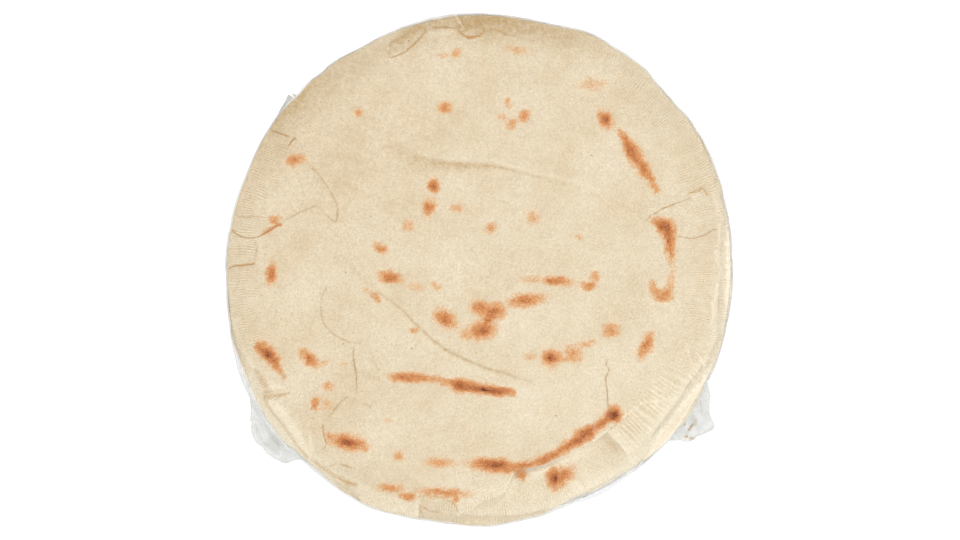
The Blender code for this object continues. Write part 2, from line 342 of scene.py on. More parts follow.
@dataclass(frozen=True)
class Break:
    """A crack through a sheet, with one lip that may stand up.

    lift is the height of the right-hand lip and reach how far back the lift goes.
    """

    pixels: tuple[tuple[float, float], ...]
    width: float
    lift: float = 0.0
    reach: float = 9.0 * MM
    brown: float = 0.25
    step: float = 1.3 * MM
    zigzag: float = 0.11 * MM
    tip: float = 0.06 * MM

    def line(self, rng: np.random.Generator) -> Points:
        """Return the crack's line with the small zigzag of broken crust."""
        corners = VIEW.place(self.pixels)
        runs = np.hypot(*np.diff(corners, axis=0).T)
        way = np.concatenate(([0.0], np.cumsum(runs)))
        steps = max(len(corners), int(way[-1] / self.step))
        place = np.linspace(0.0, way[-1], steps + 1)
        line = np.stack([np.interp(place, way, corners[:, k]) for k in (0, 1)], axis=1)
        line[1:-1] += rng.normal(0.0, self.zigzag, (len(line) - 2, 2))
        return line

    def ribbon(self, rng: np.random.Generator) -> Points:
        """Return the outline of the gap, pointed at both ends."""
        line = self.line(rng)
        heading = np.gradient(line, axis=0)
        heading /= np.maximum(np.hypot(*heading.T), 1e-9)[:, None]
        normal = np.stack((-heading[:, 1], heading[:, 0]), axis=1)
        way = np.linspace(0.0, 1.0, len(line))
        half = 0.5 * self.width * (0.35 + 0.65 * np.sin(np.pi * way) ** 0.5)
        half = half * rng.uniform(0.75, 1.2, len(line))
        half[0] = half[-1] = self.tip
        left = line + normal * half[:, None]
        right = line - normal * half[:, None]
        return np.concatenate((right, left[::-1]))

    def raised(self, points: Points) -> Points:
        """Return how far the crack lifts the sheet at each place."""
        gap, side, way = along_line(points, VIEW.place(self.pixels))
        return np.where(side < 0, self.lift, 0.0) * np.exp(-gap / self.reach) * end_taper(way, 0.3)


# ------------------------------------------------------------------ colour of the crust
FADE = 0.82                      # how fast a mark fades out towards its edge


def fade(gap: Points) -> Points:
    """Return how heat falls off from the middle of a mark, where gap is 1 at its edge."""
    return np.exp(-FADE * gap**2)


@dataclass(frozen=True)
class Spot:
    """A round or long spot of scorch or tone, in pixels of the view."""

    x: float
    y: float
    length: float
    width: float
    turn: float
    heat: float

    def at(self, points: Points) -> Points:
        """Return the spot's heat at each place, fading out from its middle."""
        offset = points - VIEW.place([(self.x, self.y)])[0]
        heading = math.radians(self.turn)
        along = offset @ np.array((math.cos(heading), math.sin(heading)))
        across = offset @ np.array((-math.sin(heading), math.cos(heading)))
        size = 0.5 * VIEW.pixel
        gap = np.hypot(along / (self.length * size), across / (self.width * size))
        return self.heat * fade(gap)


@dataclass(frozen=True)
class Streak:
    """A streak of scorch, tone or haze: x, y, width in pixels and strength at its points."""

    stations: tuple[tuple[float, float, float, float], ...]

    def at(self, points: Points) -> Points:
        """Return the streak's strength at each place, fading out from its line."""
        table = np.asarray(self.stations)
        line = VIEW.place(table[:, :2])
        runs = np.hypot(*np.diff(line, axis=0).T)
        way_at = np.concatenate(([0.0], np.cumsum(runs))) / runs.sum()
        gap, _, way = along_line(points, line)
        half = 0.5 * VIEW.pixel * np.interp(way, way_at, table[:, 2])
        heat = np.interp(way, way_at, table[:, 3])
        return heat * fade(gap / half)


# Scorches of the top sheet.
SCORCHES: tuple[Spot | Streak, ...] = (
    Spot(445, 108, 14, 11, 0, 0.58), Spot(358, 113, 9, 8, 0, 0.50),
    Spot(443, 56, 13, 6, 0, 0.34), Spot(456, 54, 12, 9, 60, 0.38),
    Spot(517, 51, 26, 9, -8, 0.30), Spot(508, 103, 8, 11, 0, 0.38),
    Spot(524, 117, 14, 10, 40, 0.52), Spot(512, 124, 15, 11, 0, 0.42),
    Spot(503, 118, 12, 8, 0, 0.32), Spot(605, 120, 19, 12, -55, 0.75),
    Streak(((619, 130, 5, 0.40), (626, 142, 11, 0.66), (630, 150, 14, 0.72),
            (638, 162, 14, 0.62), (644, 170, 12, 0.66), (651, 181, 8, 0.50),
            (656, 191, 7, 0.46))),
    Spot(591, 85, 36, 15, 0, 0.27), Spot(296, 160, 18, 10, 15, 0.62),
    Spot(293, 163, 12, 9, 0, 0.52),
    Spot(275, 220, 13, 8, 0, 0.50), Spot(281, 219, 7, 6, 0, 0.30),
    Streak(((273, 221, 4, 0.40), (281, 223.5, 3.5, 0.56), (272, 229, 3, 0.40),
            (262, 235, 3.5, 0.44))),
    Spot(272, 274, 10, 20, -6, 0.66), Spot(434, 186, 11, 13, 0, 0.72),
    Spot(429, 208, 12, 17, -15, 0.62), Spot(456, 209, 13, 9, 0, 0.42),
    Spot(408, 226, 14, 12, 0, 0.35), Spot(491, 228, 15, 9, 35, 0.42),
    Spot(532, 218, 14, 14, 0, 0.40), Spot(579, 237, 10, 8, 0, 0.32),
    Spot(381, 249, 15, 9, -30, 0.55), Spot(390, 277, 21, 11, -12, 0.68),
    Spot(416, 287, 26, 9, -5, 0.26), Spot(436, 286, 12, 7, 0, 0.33),
    Streak(((363, 287, 5, 0.25), (371, 293, 6, 0.34), (379, 299, 8, 0.46))),
    Spot(414, 330, 10, 7, -20, 0.48), Spot(445, 319, 24, 15, -35, 0.66),
    Spot(481, 308, 22, 14, -8, 0.62), Spot(494, 311, 21, 15, 10, 0.70),
    Spot(488, 320, 12, 13, 0, 0.72), Spot(482, 330, 25, 17, 14, 0.72),
    Spot(467, 334, 17, 12, 0, 0.38), Spot(526, 300, 36, 13, 8, 0.62),
    Spot(556, 281, 32, 9, -3, 0.60), Spot(532, 280, 24, 8, 0, 0.32),
    Spot(588, 286, 17, 8, 0, 0.54), Spot(595, 277, 9, 12, 0, 0.46),
    Streak(((654, 222, 8, 0.55), (666, 227, 14, 0.85), (669, 240, 12, 0.66),
            (670, 254, 9, 0.50), (672, 266, 10, 0.22), (671, 282, 9, 0.26),
            (666, 295, 12, 0.55), (657, 295, 9, 0.50), (651, 284, 8, 0.34))),
    Spot(662, 298, 18, 8, 0, 0.52), Spot(662, 222, 20, 9, 0, 0.62),
    Spot(611, 330, 17, 16, 0, 0.46),
    Streak(((650, 335, 9, 0.42), (646, 344, 13, 0.60), (640, 356, 10, 0.40))),
    Spot(551, 358, 16, 15, 0, 0.84), Spot(563, 358, 12, 7, 0, 0.46),
    Spot(573, 354, 17, 18, 30, 0.46), Spot(586, 344, 22, 8, 10, 0.34),
    Spot(530, 357, 16, 8, 0, 0.30),
    Streak(((386, 375, 6, 0.20), (398, 377, 9, 0.56), (410, 377, 9, 0.62),
            (424, 378, 8, 0.55), (436, 379, 7, 0.46), (448, 382, 8, 0.50),
            (459, 385, 14, 0.82), (470, 387, 11, 0.72), (484, 389, 10, 0.90),
            (498, 391, 9, 0.80), (514, 392, 6, 0.50))),
    Streak(((260, 347, 11, 0.60), (268, 353, 14, 0.86), (274, 360, 12, 0.76),
            (279, 368, 8, 0.50), (284, 377, 5, 0.26))),
    Spot(268, 352, 15, 12, -40, 0.66), Spot(310, 358, 22, 11, -38, 0.70),
    Spot(324, 363, 12, 7, 0, 0.32), Spot(345, 364, 8, 7, 0, 0.30),
    Spot(328, 386, 11, 9, 0, 0.40), Spot(316, 403, 9, 13, 0, 0.56),
    Spot(328, 404, 11, 9, 0, 0.30), Spot(388, 421, 9, 8, 0, 0.26),
    Spot(349, 442, 32, 14, -12, 0.84), Spot(330, 436, 12, 7, -30, 0.50),
    Spot(364, 448, 12, 8, -20, 0.40), Spot(399, 456, 11, 10, 0, 0.48),
    Spot(440, 462, 32, 9, -4, 0.46),
    Spot(495, 465, 48, 13, -4, 0.74), Spot(482, 462, 22, 10, 0, 0.64),
    Spot(521, 473, 12, 11, 0, 0.56),
    Streak(((514, 467, 9, 0.60), (528, 464, 9, 0.62), (543, 460, 9, 0.64),
            (558, 452, 9, 0.62), (570, 444, 10, 0.68), (583, 435, 13, 0.84),
            (595, 427, 10, 0.66), (606, 419, 9, 0.70))),
    Spot(613, 414, 15, 13, 30, 1.0), Spot(390, 487, 26, 9, -6, 0.54),
    Spot(408, 496, 17, 8, -4, 0.58), Spot(444, 492, 48, 9, -3, 0.56),
    Spot(456, 499, 7, 10, 0, 0.50),
    # the darkest cores of the larger ones
    Spot(347, 443, 14, 8, -10, 0.90), Spot(495, 464, 24, 9, -8, 0.96),
    Spot(461, 385, 13, 9, -20, 0.93), Spot(485, 389, 12, 8, 0, 1.22),
    Spot(550, 357, 10, 10, 0, 0.93), Spot(269, 353, 12, 9, -60, 1.03),
    Spot(484, 330, 13, 9, 0, 0.86), Spot(491, 313, 11, 8, 10, 0.83),
    Spot(663, 227, 13, 12, 0, 0.86), Spot(581, 438, 18, 8, 30, 0.82),
    Spot(434, 186, 7, 8, 0, 0.80), Spot(427, 208, 6, 8, 0, 0.74),
    Spot(402, 378, 10, 5, 0, 0.76), Spot(550, 280, 12, 5, 0, 0.76),
    Spot(309, 359, 12, 6, -38, 0.80), Spot(445, 318, 12, 7, -35, 0.66),
    Spot(606, 119, 10, 7, -50, 0.82), Spot(628, 151, 8, 12, 0, 0.74),
    Spot(641, 168, 6, 12, 25, 0.66), Spot(526, 301, 20, 6, 8, 0.72),
    Spot(391, 277, 11, 6, -12, 0.64), Spot(272, 274, 5, 10, -6, 0.72),
    Spot(449, 493, 20, 4, -3, 0.66), Spot(668, 240, 8, 10, 0, 0.80),
    Spot(647, 341, 6, 8, 0, 0.70), Spot(591, 284, 6, 6, 0, 0.60),
)

# Scorches of the second sheet, in the gap of the top sheet's rim.
LOWER_SCORCHES: tuple[Spot | Streak, ...] = (
    Spot(554, 478, 14, 20, 0, 0.84), Spot(564, 474, 20, 15, 10, 0.64),
    Spot(559, 480, 14, 15, 0, 0.60), Spot(555, 478, 8, 10, 0, 1.04),
    Spot(521, 473, 12, 10, -30, 0.80),
)

# Brown lines along broken edges: their points and how brown they are, some partly painted shadow.
BROWN_LINES: tuple[Streak, ...] = (
    Streak(((264, 399, 3, 0.6), (268, 406, 3, 0.4), (275, 416, 4, 0.3), (281, 424, 5, 0.3),
            (290, 436, 4, 0.25), (298, 447, 3, 0.3), (306, 456, 4, 0.5))),
    Streak(((312, 459, 3, 0.4), (324, 468, 3, 0.5), (334, 475, 3, 0.4), (343, 480, 3, 0.7),
            (349, 483, 4, 0.8), (356, 484.5, 3, 0.6))),
    # partly painted shadow under the lower edge of a flake
    Streak(((265, 396.5, 5, 0.55), (276, 395.5, 4, 0.5), (290, 393, 2.5, 0.45))),
    Streak(((265, 391.5, 4, 0.40), (276, 391, 3, 0.2))),
    Streak(((257, 371, 6, 0.3), (261, 378, 7, 0.45), (266, 385, 5, 0.55))),
    Streak(((279, 371, 3, 0.6), (285, 375, 3, 0.8), (284, 382, 2, 0.3))),
    Streak(((419.5, 495, 2, 0.4), (430, 494.5, 2, 0.5), (445, 498, 2, 0.5),
            (455, 504.5, 2, 0.6), (458, 511, 2, 0.6))),
    # partly painted shadow under the lower edge of a flake
    Streak(((238, 267, 2.5, 0.5), (246, 264.5, 2.5, 0.8), (253, 264, 2.5, 0.9))),
    Streak(((688, 193, 2, 0.4), (696, 191, 3, 0.5), (702, 188, 3, 0.5), (706, 194, 2, 0.4))),
)

# The same on the sheet below, where the top sheet's rim is gone.
LOWER_LINES: tuple[Streak, ...] = (
    # partly painted shadow under the bottom flake's lower edge
    Streak(((420, 505, 3, 0.4), (431, 511, 3, 0.5), (445, 513.5, 3, 0.5), (458, 515, 3, 0.5),
            (475, 517.5, 3, 0.4), (500, 517.5, 3, 0.35), (520, 515.5, 3, 0.25),
            (545, 511, 3, 0.1))),
    Streak(((420, 497, 3, 0.5), (420.5, 505, 3, 0.4), (421, 512, 3, 0.2))),
)

# How much tanner the rim is at each angle, below 0 paler.
TOAST_AT = (
    (0, -0.16), (25, -0.10), (50, 0.06), (70, 0.24), (90, 0.38), (112, 0.18), (135, 0.14),
    (148, 0.18), (156, 0.08), (180, 0.08), (205, 0.02), (235, 0.0), (262, -0.02),
    (290, -0.28), (320, -0.36), (345, -0.26),
)
# Painted shade on the last of the rim at each angle, below 0 painted light.
RIM_SHADE_AT = (
    (0, -0.2), (30, -0.12), (55, 0.0), (75, 0.05), (90, 0.10), (110, 0.0), (150, 0.05),
    (190, 0.05), (212, -0.1), (230, -0.3), (250, -0.34), (275, -0.36), (300, -0.34),
    (345, -0.25),
)
# How plainly the ribs of the rim show at each angle, and how far out they start.
RIBS_AT = (
    (0, 1.1), (15, 1.2), (30, 1.15), (55, 0.7), (75, 0.5), (90, 0.3), (115, 0.25),
    (140, 0.30), (147, 0.35), (151, 1.1), (172, 1.25), (190, 1.2), (215, 0.6), (240, 0.8),
    (275, 1.05), (310, 1.2), (345, 1.1),
)
RIBS_FROM = (
    (0, 0.86), (15, 0.84), (30, 0.83), (60, 0.88), (90, 0.94), (120, 0.93), (150, 0.86),
    (165, 0.865), (180, 0.87), (200, 0.87), (212, 0.90), (240, 0.94), (265, 0.90), (285, 0.84),
    (310, 0.84), (330, 0.86), (345, 0.87),
)
RIB_COUNT = 600                  # ribs round a sheet, about 1.5 mm apart
RIB_SWAY_BANDS = ((14.0 * MM, 0.5, 6),)
RIB_STRENGTH_BANDS = ((11.0 * MM, 0.4, 6),)
RIB_START_SWAY = 0.012           # how much their start moves in and out, as a share
RIB_RISE = 0.035                 # how far they take to come up, as a share


def around(table: tuple[tuple[float, float], ...], angle: Points) -> Points:
    """Read a table of angle and value, joined smoothly round the circle."""
    columns = np.asarray(table)
    return np.interp(angle, columns[:, 0], columns[:, 1], period=360.0)


def rib_signal(points: Points, angle: Points, share: Points, seed: int) -> Points:
    """Return the fine ribs that the rolling left across a rim.

    Args:
        points: Places on a sheet.
        angle: Their angles.
        share: Their distances as shares of the sheet's radius.
        seed: Which sheet's ribs.

    Returns:
        About -1 in a furrow and 1 on a rib, and 0 where there are none.
    """
    turn = np.radians(angle)
    sway = 1.6 * np.sin(13 * turn + seed) + 1.1 * np.sin(29 * turn + 2.0 * seed)
    sway = sway + 1.3 * Swells2D(seed + 50, RIB_SWAY_BANDS).at(points)
    strength = 0.75 + 0.45 * Swells2D(seed + 60, RIB_STRENGTH_BANDS).at(points)
    start = around(RIBS_FROM, angle) + RIB_START_SWAY * np.sin(41 * turn + seed)
    strength = np.clip(strength, 0.1, 1.3) * around(RIBS_AT, angle)
    return np.sin(RIB_COUNT * turn + sway) * strength * smooth(share, start, start + RIB_RISE)


@dataclass(frozen=True)
class Ridges:
    """The coarse radial ridges of the lower right rim, where it puckered in the oven."""

    count: int = 288
    height: float = 0.55 * MM
    rise: tuple[float, float] = (303.0, 306.0)
    fall: tuple[float, float] = (316.0, 345.0)
    start: tuple[float, float] = (0.855, 0.885)

    def where(self, angle: Points, share: Points) -> Points:
        """Return 1 where there are ridges, falling smoothly to 0 around them."""
        spread = smooth(angle, *self.rise) * (1.0 - smooth(angle, *self.fall))
        return spread * smooth(share, *self.start)

    def crest(self, angle: Points, share: Points) -> Points:
        """Return 1 on the crest of each ridge and 0 in the furrows."""
        turn = np.radians(angle)
        sway = 1.1 * np.sin(31.0 * turn) + 0.7 * np.sin(57.0 * turn + 14.0 * share)
        return (1.0 - np.abs(np.sin(0.5 * self.count * turn + sway)) ** 0.8)


RIDGES = Ridges()


# ------------------------------------------------------------------ mesh helpers
MERGE_WITHIN = 1e-6              # vertices this near each other become one
SAME_RING = 2e-6                 # a vertex this near a ring lies on it
WELL_BELOW = -5.0 * MM           # below everything: cutters reach from here
WELL_ABOVE = 40.0 * MM           # above everything: cutters reach here, rays start here


def deselect_all() -> None:
    """Deselect every object."""
    bpy.ops.object.select_all(action="DESELECT")


def make_active(piece: Piece) -> None:
    """Select one object alone and make it the active one."""
    deselect_all()
    piece.select_set(True)
    bpy.context.view_layer.objects.active = piece


@contextmanager
def editing(elements: str = "VERT") -> Iterator[None]:
    """Work on the active mesh in edit mode, by its vertices or its edges."""
    bpy.ops.object.mode_set(mode="EDIT")
    bpy.ops.mesh.select_mode(type=elements)
    yield
    bpy.ops.object.mode_set(mode="OBJECT")


def read_points(piece: Piece) -> Points:
    """Return a mesh's vertices, one row each."""
    flat = np.empty(len(piece.data.vertices) * 3)
    piece.data.vertices.foreach_get("co", flat)
    return flat.reshape(-1, 3)


def write_points(piece: Piece, points: Points) -> None:
    """Move a mesh's vertices to new places."""
    piece.data.vertices.foreach_set("co", np.ascontiguousarray(points).ravel())
    piece.data.update()


def select_vertices(piece: Piece, chosen: Points) -> None:
    """Select some of a mesh's vertices, with the edges and faces between them.

    Args:
        piece: A mesh in object mode.
        chosen: True for each vertex that is wanted.
    """
    mesh = piece.data
    ends = np.empty(len(mesh.edges) * 2, dtype=np.int32)
    mesh.edges.foreach_get("vertices", ends)
    pair = chosen[ends.reshape(-1, 2)].all(axis=1)
    corners = np.empty(len(mesh.loops), dtype=np.int32)
    mesh.loops.foreach_get("vertex_index", corners)
    starts = np.empty(len(mesh.polygons), dtype=np.int32)
    mesh.polygons.foreach_get("loop_start", starts)
    whole = np.logical_and.reduceat(chosen[corners], starts) if len(starts) else []
    mesh.vertices.foreach_set("select", chosen)
    mesh.edges.foreach_set("select", pair)
    mesh.polygons.foreach_set("select", whole)


def tidy_normals(piece: Piece) -> None:
    """Merge doubles and turn all faces of a closed mesh outwards."""
    make_active(piece)
    with editing():
        bpy.ops.mesh.select_all(action="SELECT")
        bpy.ops.mesh.remove_doubles(threshold=MERGE_WITHIN)
        bpy.ops.mesh.normals_make_consistent(inside=False)


def subdivide_near(piece: Piece, chosen: Points) -> None:
    """Halve the faces that touch the chosen vertices.

    Args:
        piece: A mesh in object mode.
        chosen: True for each vertex that is wanted.
    """
    select_vertices(piece, chosen)
    make_active(piece)
    with editing():
        bpy.ops.mesh.subdivide(number_cuts=1, ngon=False)


@dataclass(frozen=True)
class Zone:
    """A stretch of rings with one number of rays: a radius and a depth for each ring."""

    rays: int
    stations: tuple[tuple[float, float], ...]

    def build(self, name: str) -> Piece:
        """Draw the first ring and extrude it through the others."""
        radius, depth = self.stations[0]
        deselect_all()
        bpy.ops.mesh.primitive_circle_add(vertices=self.rays, radius=radius, fill_type="NOTHING")
        piece = bpy.context.object
        piece.name = name
        with editing("EDGE"):
            bpy.ops.mesh.select_all(action="SELECT")
            bpy.ops.transform.translate(value=(0.0, 0.0, depth))
            for next_radius, next_depth in self.stations[1:]:
                step = (0.0, 0.0, next_depth - depth)
                share = next_radius / radius
                bpy.ops.mesh.extrude_edges_move(TRANSFORM_OT_translate={"value": step})
                bpy.ops.transform.resize(value=(share, share, 1.0))
                radius, depth = next_radius, next_depth
        return piece


def rings(outer: float, inner: float, count: int, depth: float = 0.0) -> tuple:
    """Return count even stations from outer to inner, both included."""
    return tuple((float(radius), depth) for radius in np.linspace(outer, inner, count))


def on_ring(piece: Piece, radius: float, depth: float) -> Points:
    """Return True for each vertex that lies on the ring of a radius and a depth."""
    places = read_points(piece)
    spread = np.hypot(places[:, 0], places[:, 1])
    return (np.abs(spread - radius) < SAME_RING) & (np.abs(places[:, 2] - depth) < SAME_RING)


def closed_disc(name: str, zones: tuple[Zone, ...]) -> Piece:
    """Join zones end to end into one closed disc and close its two poles.

    Args:
        name: Name of the new object.
        zones: Zones in order, from the upper pole round the edge to the lower pole.

    Returns:
        The disc, still flat.
    """
    parts = [zone.build(name) for zone in zones]
    for part in parts:
        part.select_set(True)
    bpy.context.view_layer.objects.active = parts[0]
    bpy.ops.object.join()
    disc = bpy.context.object
    for before, after in zip(zones[:-1], zones[1:]):
        chosen = on_ring(disc, *before.stations[-1]) | on_ring(disc, *after.stations[0])
        select_vertices(disc, chosen)
        with editing("EDGE"):
            bpy.ops.mesh.bridge_edge_loops()
    for pole_ring in (zones[0].stations[0], zones[-1].stations[-1]):
        select_vertices(disc, on_ring(disc, *pole_ring))
        with editing("EDGE"):
            bpy.ops.mesh.extrude_edges_move(TRANSFORM_OT_translate={"value": (0.0, 0.0, 0.0)})
            bpy.ops.mesh.merge(type="CENTER")
    tidy_normals(disc)
    return disc


def prism(name: str, outline: Points) -> Piece:
    """Make an upright block on any flat outline, to cut with.

    Args:
        name: Name of the new object.
        outline: Corners of the outline, in order.

    Returns:
        The closed block, from WELL_BELOW to WELL_ABOVE.
    """
    deselect_all()
    bpy.ops.mesh.primitive_circle_add(vertices=len(outline), radius=1.0, fill_type="NGON")
    block = bpy.context.object
    block.name = name
    write_points(block, np.column_stack((outline, np.full(len(outline), WELL_BELOW))))
    with editing():
        bpy.ops.mesh.select_all(action="SELECT")
        move = {"value": (0.0, 0.0, WELL_ABOVE - WELL_BELOW)}
        bpy.ops.mesh.extrude_region_move(TRANSFORM_OT_translate=move)
    tidy_normals(block)
    return block


class CutKind(Enum):
    """What a cutter leaves of a piece."""

    AWAY = "DIFFERENCE"
    INSIDE = "INTERSECT"


def cut(piece: Piece, cutter: Piece, kind: CutKind) -> None:
    """Cut a piece with a closed cutter, which is then removed."""
    make_active(piece)
    modifier = piece.modifiers.new("cut", "BOOLEAN")
    modifier.operation = kind.value
    modifier.solver = "MANIFOLD"
    modifier.object = cutter
    bpy.ops.object.modifier_apply(modifier=modifier.name)
    bpy.data.objects.remove(cutter)


def copy_of(piece: Piece, name: str) -> Piece:
    """Return a copy of a piece with its own mesh."""
    twin = piece.copy()
    twin.data = piece.data.copy()
    twin.name = name
    bpy.context.scene.collection.objects.link(twin)
    return twin


# ------------------------------------------------------------------ material helpers
def linear(code: str, alpha: float = 1.0) -> tuple[float, float, float, float]:
    """Turn an sRGB hex colour into linear red, green, blue and alpha."""
    parts = [int(code[k:k + 2], 16) / 255.0 for k in (0, 2, 4)]
    red, green, blue = (
        part / 12.92 if part <= 0.04045 else ((part + 0.055) / 1.055) ** 2.4 for part in parts
    )
    return (red, green, blue, alpha)


def add_node(tree: NodeTree, kind: str, settings: Optional[dict] = None,
             links: Optional[dict] = None) -> bpy.types.Node:
    """Add one node to a tree.

    Args:
        tree: The node tree.
        kind: Blender's name of the node's type, without "ShaderNode".
        settings: Values by the name of a node's property or the name or number of an input.
        links: Output sockets by the name or number of the input that they feed.

    Returns:
        The new node.
    """
    node = tree.nodes.new("ShaderNode" + kind)
    for key, value in (settings or {}).items():
        if isinstance(key, str) and hasattr(node, key):
            setattr(node, key, value)
        else:
            node.inputs[key].default_value = value
    for key, source in (links or {}).items():
        tree.links.new(source, node.inputs[key])
    return node


def blank_material(name: str) -> Material:
    """Return a new node material with an empty tree."""
    material = bpy.data.materials.new(name)
    material.use_nodes = True
    material.node_tree.nodes.clear()
    return material


class Mixer:
    """Short ways to add the nodes that a crust's colour and relief are mixed from."""

    def __init__(self, tree: NodeTree) -> None:
        """Start on a tree with the place on the object, for the patterns."""
        self.tree = tree
        self.place = add_node(tree, "TexCoord").outputs["Object"]

    def noise(self, size: float, detail: float, rough: float = 0.5,
              curl: float = 0.0) -> Socket:
        """Return a noise value with features of the given size, drawn into curls."""
        settings = {"Scale": 1.0 / size, "Detail": detail, "Roughness": rough,
                    "Distortion": curl}
        return add_node(self.tree, "TexNoise", settings, {"Vector": self.place}).outputs[0]

    def span(self, value: Socket, low: float, high: float, start: float = 0.0,
             end: float = 1.0) -> Socket:
        """Return value stretched smoothly from low..high to start..end."""
        settings = {"interpolation_type": "SMOOTHSTEP", "From Min": low, "From Max": high,
                    "To Min": start, "To Max": end}
        return add_node(self.tree, "MapRange", settings, {"Value": value}).outputs["Result"]

    def maths(self, operation: str, first: Socket, second: Socket | float) -> Socket:
        """Return the result of one sum on a value and a value or number."""
        if isinstance(second, float):
            settings, links = {"operation": operation, 1: second}, {0: first}
        else:
            settings, links = {"operation": operation}, {0: first, 1: second}
        return add_node(self.tree, "Math", settings, links).outputs[0]

    def blend(self, share: Socket, under: Socket | str, over: str) -> Socket:
        """Return a colour with another laid over it."""
        settings = {"data_type": "RGBA", 7: linear(over)}
        links = {0: share}
        if isinstance(under, str):
            settings[6] = linear(under)
        else:
            links[6] = under
        return add_node(self.tree, "Mix", settings, links).outputs[2]


@dataclass(frozen=True)
class BakedCrust:
    """Semolina crust, baked twice until dry and matt.

    It gives the eye a pale cream ground with a fine sandy grain, tan along the rim,
    soft-edged scorches from orange to dark brown, and sparse dark bran specks.
    It reads the attribute "crust": scorch, toast, ribs and flour; toast also carries painted
    shade and painted light, and ribs painted shade in furrows and highlight on crests.
    """

    name: str
    ground: str = "ECDEC4"
    warm: str = "DEC8A4"
    flour: str = "F4E9D4"
    # paler crust, and the colour of painted light and painted highlight
    pale: str = "FAF0DA"
    toast_and_shading: str = "CEB080"
    deep_toast: str = "C28A4C"
    # the colour of painted shade in the furrows of the ribs
    furrow_shade: str = "D3A970"
    faint: str = "EBC292"
    orange: str = "DE985B"
    brown: str = "B26438"
    black: str = "59301E"
    speck: str = "8A5A34"
    grain_dark: tuple[float, float, float, float] = (0.858, 0.832, 0.79, 1.0)
    grain_light: tuple[float, float, float, float] = (1.108, 1.108, 1.098, 1.0)
    grain: float = 1.0 * MM
    grit: float = 0.8 * MM
    mottle: float = 11.0 * MM
    patch: float = 3.08 * MM
    grain_bump: float = 0.08 * MM
    patch_bump: float = 0.07 * MM
    rib_bump: float = 0.08 * MM
    roughness: float = 0.82
    specular: float = 0.18
    # Two sizes of random cells with a speck in each: cell, speck's share of it, strength.
    specks: tuple[tuple[float, float, float], ...] = (
        (5.2 * MM, 0.060, 0.45), (19.0 * MM, 0.026, 0.75),
    )

    def build(self) -> Material:
        """Build the node material."""
        material = blank_material(self.name)
        tree = material.node_tree
        mixer = Mixer(tree)
        paint = add_node(tree, "Attribute", {"attribute_name": "crust"})
        parts = add_node(tree, "SeparateColor", links={"Color": paint.outputs["Color"]})
        scorch, toast_and_shading, ribs = (parts.outputs[name] for name in ("Red", "Green", "Blue"))
        sand = mixer.noise(self.grain, 3.0, 0.62, 0.9)
        patch = mixer.noise(self.patch, 3.0, 0.6)
        colour = self.baked(mixer, patch, paint.outputs["Alpha"], toast_and_shading)
        colour = self.ribbed(mixer, colour, ribs)
        colour = self.scorched(mixer, colour, patch, scorch)
        colour = self.grained(mixer, colour, sand)
        colour = self.specked(mixer, colour)
        height = mixer.maths("MULTIPLY", sand, self.grain_bump)
        for relief, size in ((patch, self.patch_bump), (ribs, self.rib_bump)):
            height = mixer.maths("ADD", height, mixer.maths("MULTIPLY", relief, size))
        bump_node = add_node(tree, "Bump", {"Strength": 1.0, "Distance": 1.0},
                             {"Height": height})
        shader = add_node(
            tree, "BsdfPrincipled",
            {"Roughness": self.roughness, "Specular IOR Level": self.specular},
            {"Base Color": colour, "Normal": bump_node.outputs[0]},
        )
        add_node(tree, "OutputMaterial", links={"Surface": shader.outputs[0]})
        return material

    def baked(self, mixer: Mixer, patch: Socket, flour: Socket, toast_and_shading: Socket) -> Socket:
        """Return the mottled ground with flour and toast, or pale crust below 0 of toast.

        Toast here also carries painted shade, and below 0 also painted light.
        """
        cloud = mixer.noise(self.mottle, 4.0, 0.6)
        colour = mixer.blend(mixer.span(cloud, 0.36, 0.68, 0.0, 0.40), self.ground, self.warm)
        colour = mixer.blend(mixer.span(patch, 0.50, 0.74, 0.0, 0.22), colour, self.warm)
        dusting = mixer.maths("MULTIPLY", mixer.span(patch, 0.30, 0.60, 0.8, 0.35), flour)
        colour = mixer.blend(dusting, colour, self.flour)
        uneven = mixer.maths("MULTIPLY", toast_and_shading, mixer.span(patch, 0.25, 0.7, 0.65, 1.15))
        colour = mixer.blend(mixer.span(uneven, 0.0, 0.75), colour, self.toast_and_shading)
        colour = mixer.blend(mixer.span(uneven, 0.70, 1.20, 0.0, 0.8), colour, self.deep_toast)
        return mixer.blend(mixer.span(toast_and_shading, 0.0, -0.8, 0.0, 0.9), colour, self.pale)

    def ribbed(self, mixer: Mixer, colour: Socket, ribs: Socket) -> Socket:
        """Return a colour with painted shade in the furrows and a painted highlight on the ribs.
        """
        colour = mixer.blend(mixer.span(ribs, 0.45, 0.0, 0.0, 0.40), colour, self.furrow_shade)
        return mixer.blend(mixer.span(ribs, 0.58, 1.0, 0.0, 0.55), colour, self.pale)

    def scorched(self, mixer: Mixer, colour: Socket, patch: Socket, scorch: Socket) -> Socket:
        """Return a colour with its scorches, broken up by grit as blistered crust is."""
        grit = mixer.span(mixer.noise(self.grit, 2.0, 0.6, 0.6), 0.30, 0.70, -0.5, 0.5)
        ragged = mixer.maths("ADD", scorch, mixer.maths("MULTIPLY", grit, 0.28))
        blotch = mixer.maths("MULTIPLY", mixer.maths("SUBTRACT", patch, 0.5), 0.22)
        ragged = mixer.maths("ADD", ragged, blotch)
        heat = mixer.maths("MULTIPLY", ragged, mixer.span(scorch, 0.0, 0.20))
        colour = mixer.blend(mixer.span(heat, 0.0, 0.40, 0.0, 0.9), colour, self.faint)
        colour = mixer.blend(mixer.span(heat, 0.18, 0.60), colour, self.orange)
        colour = mixer.blend(mixer.span(heat, 0.48, 0.90), colour, self.brown)
        return mixer.blend(mixer.span(heat, 0.80, 1.12, 0.0, 0.95), colour, self.black)

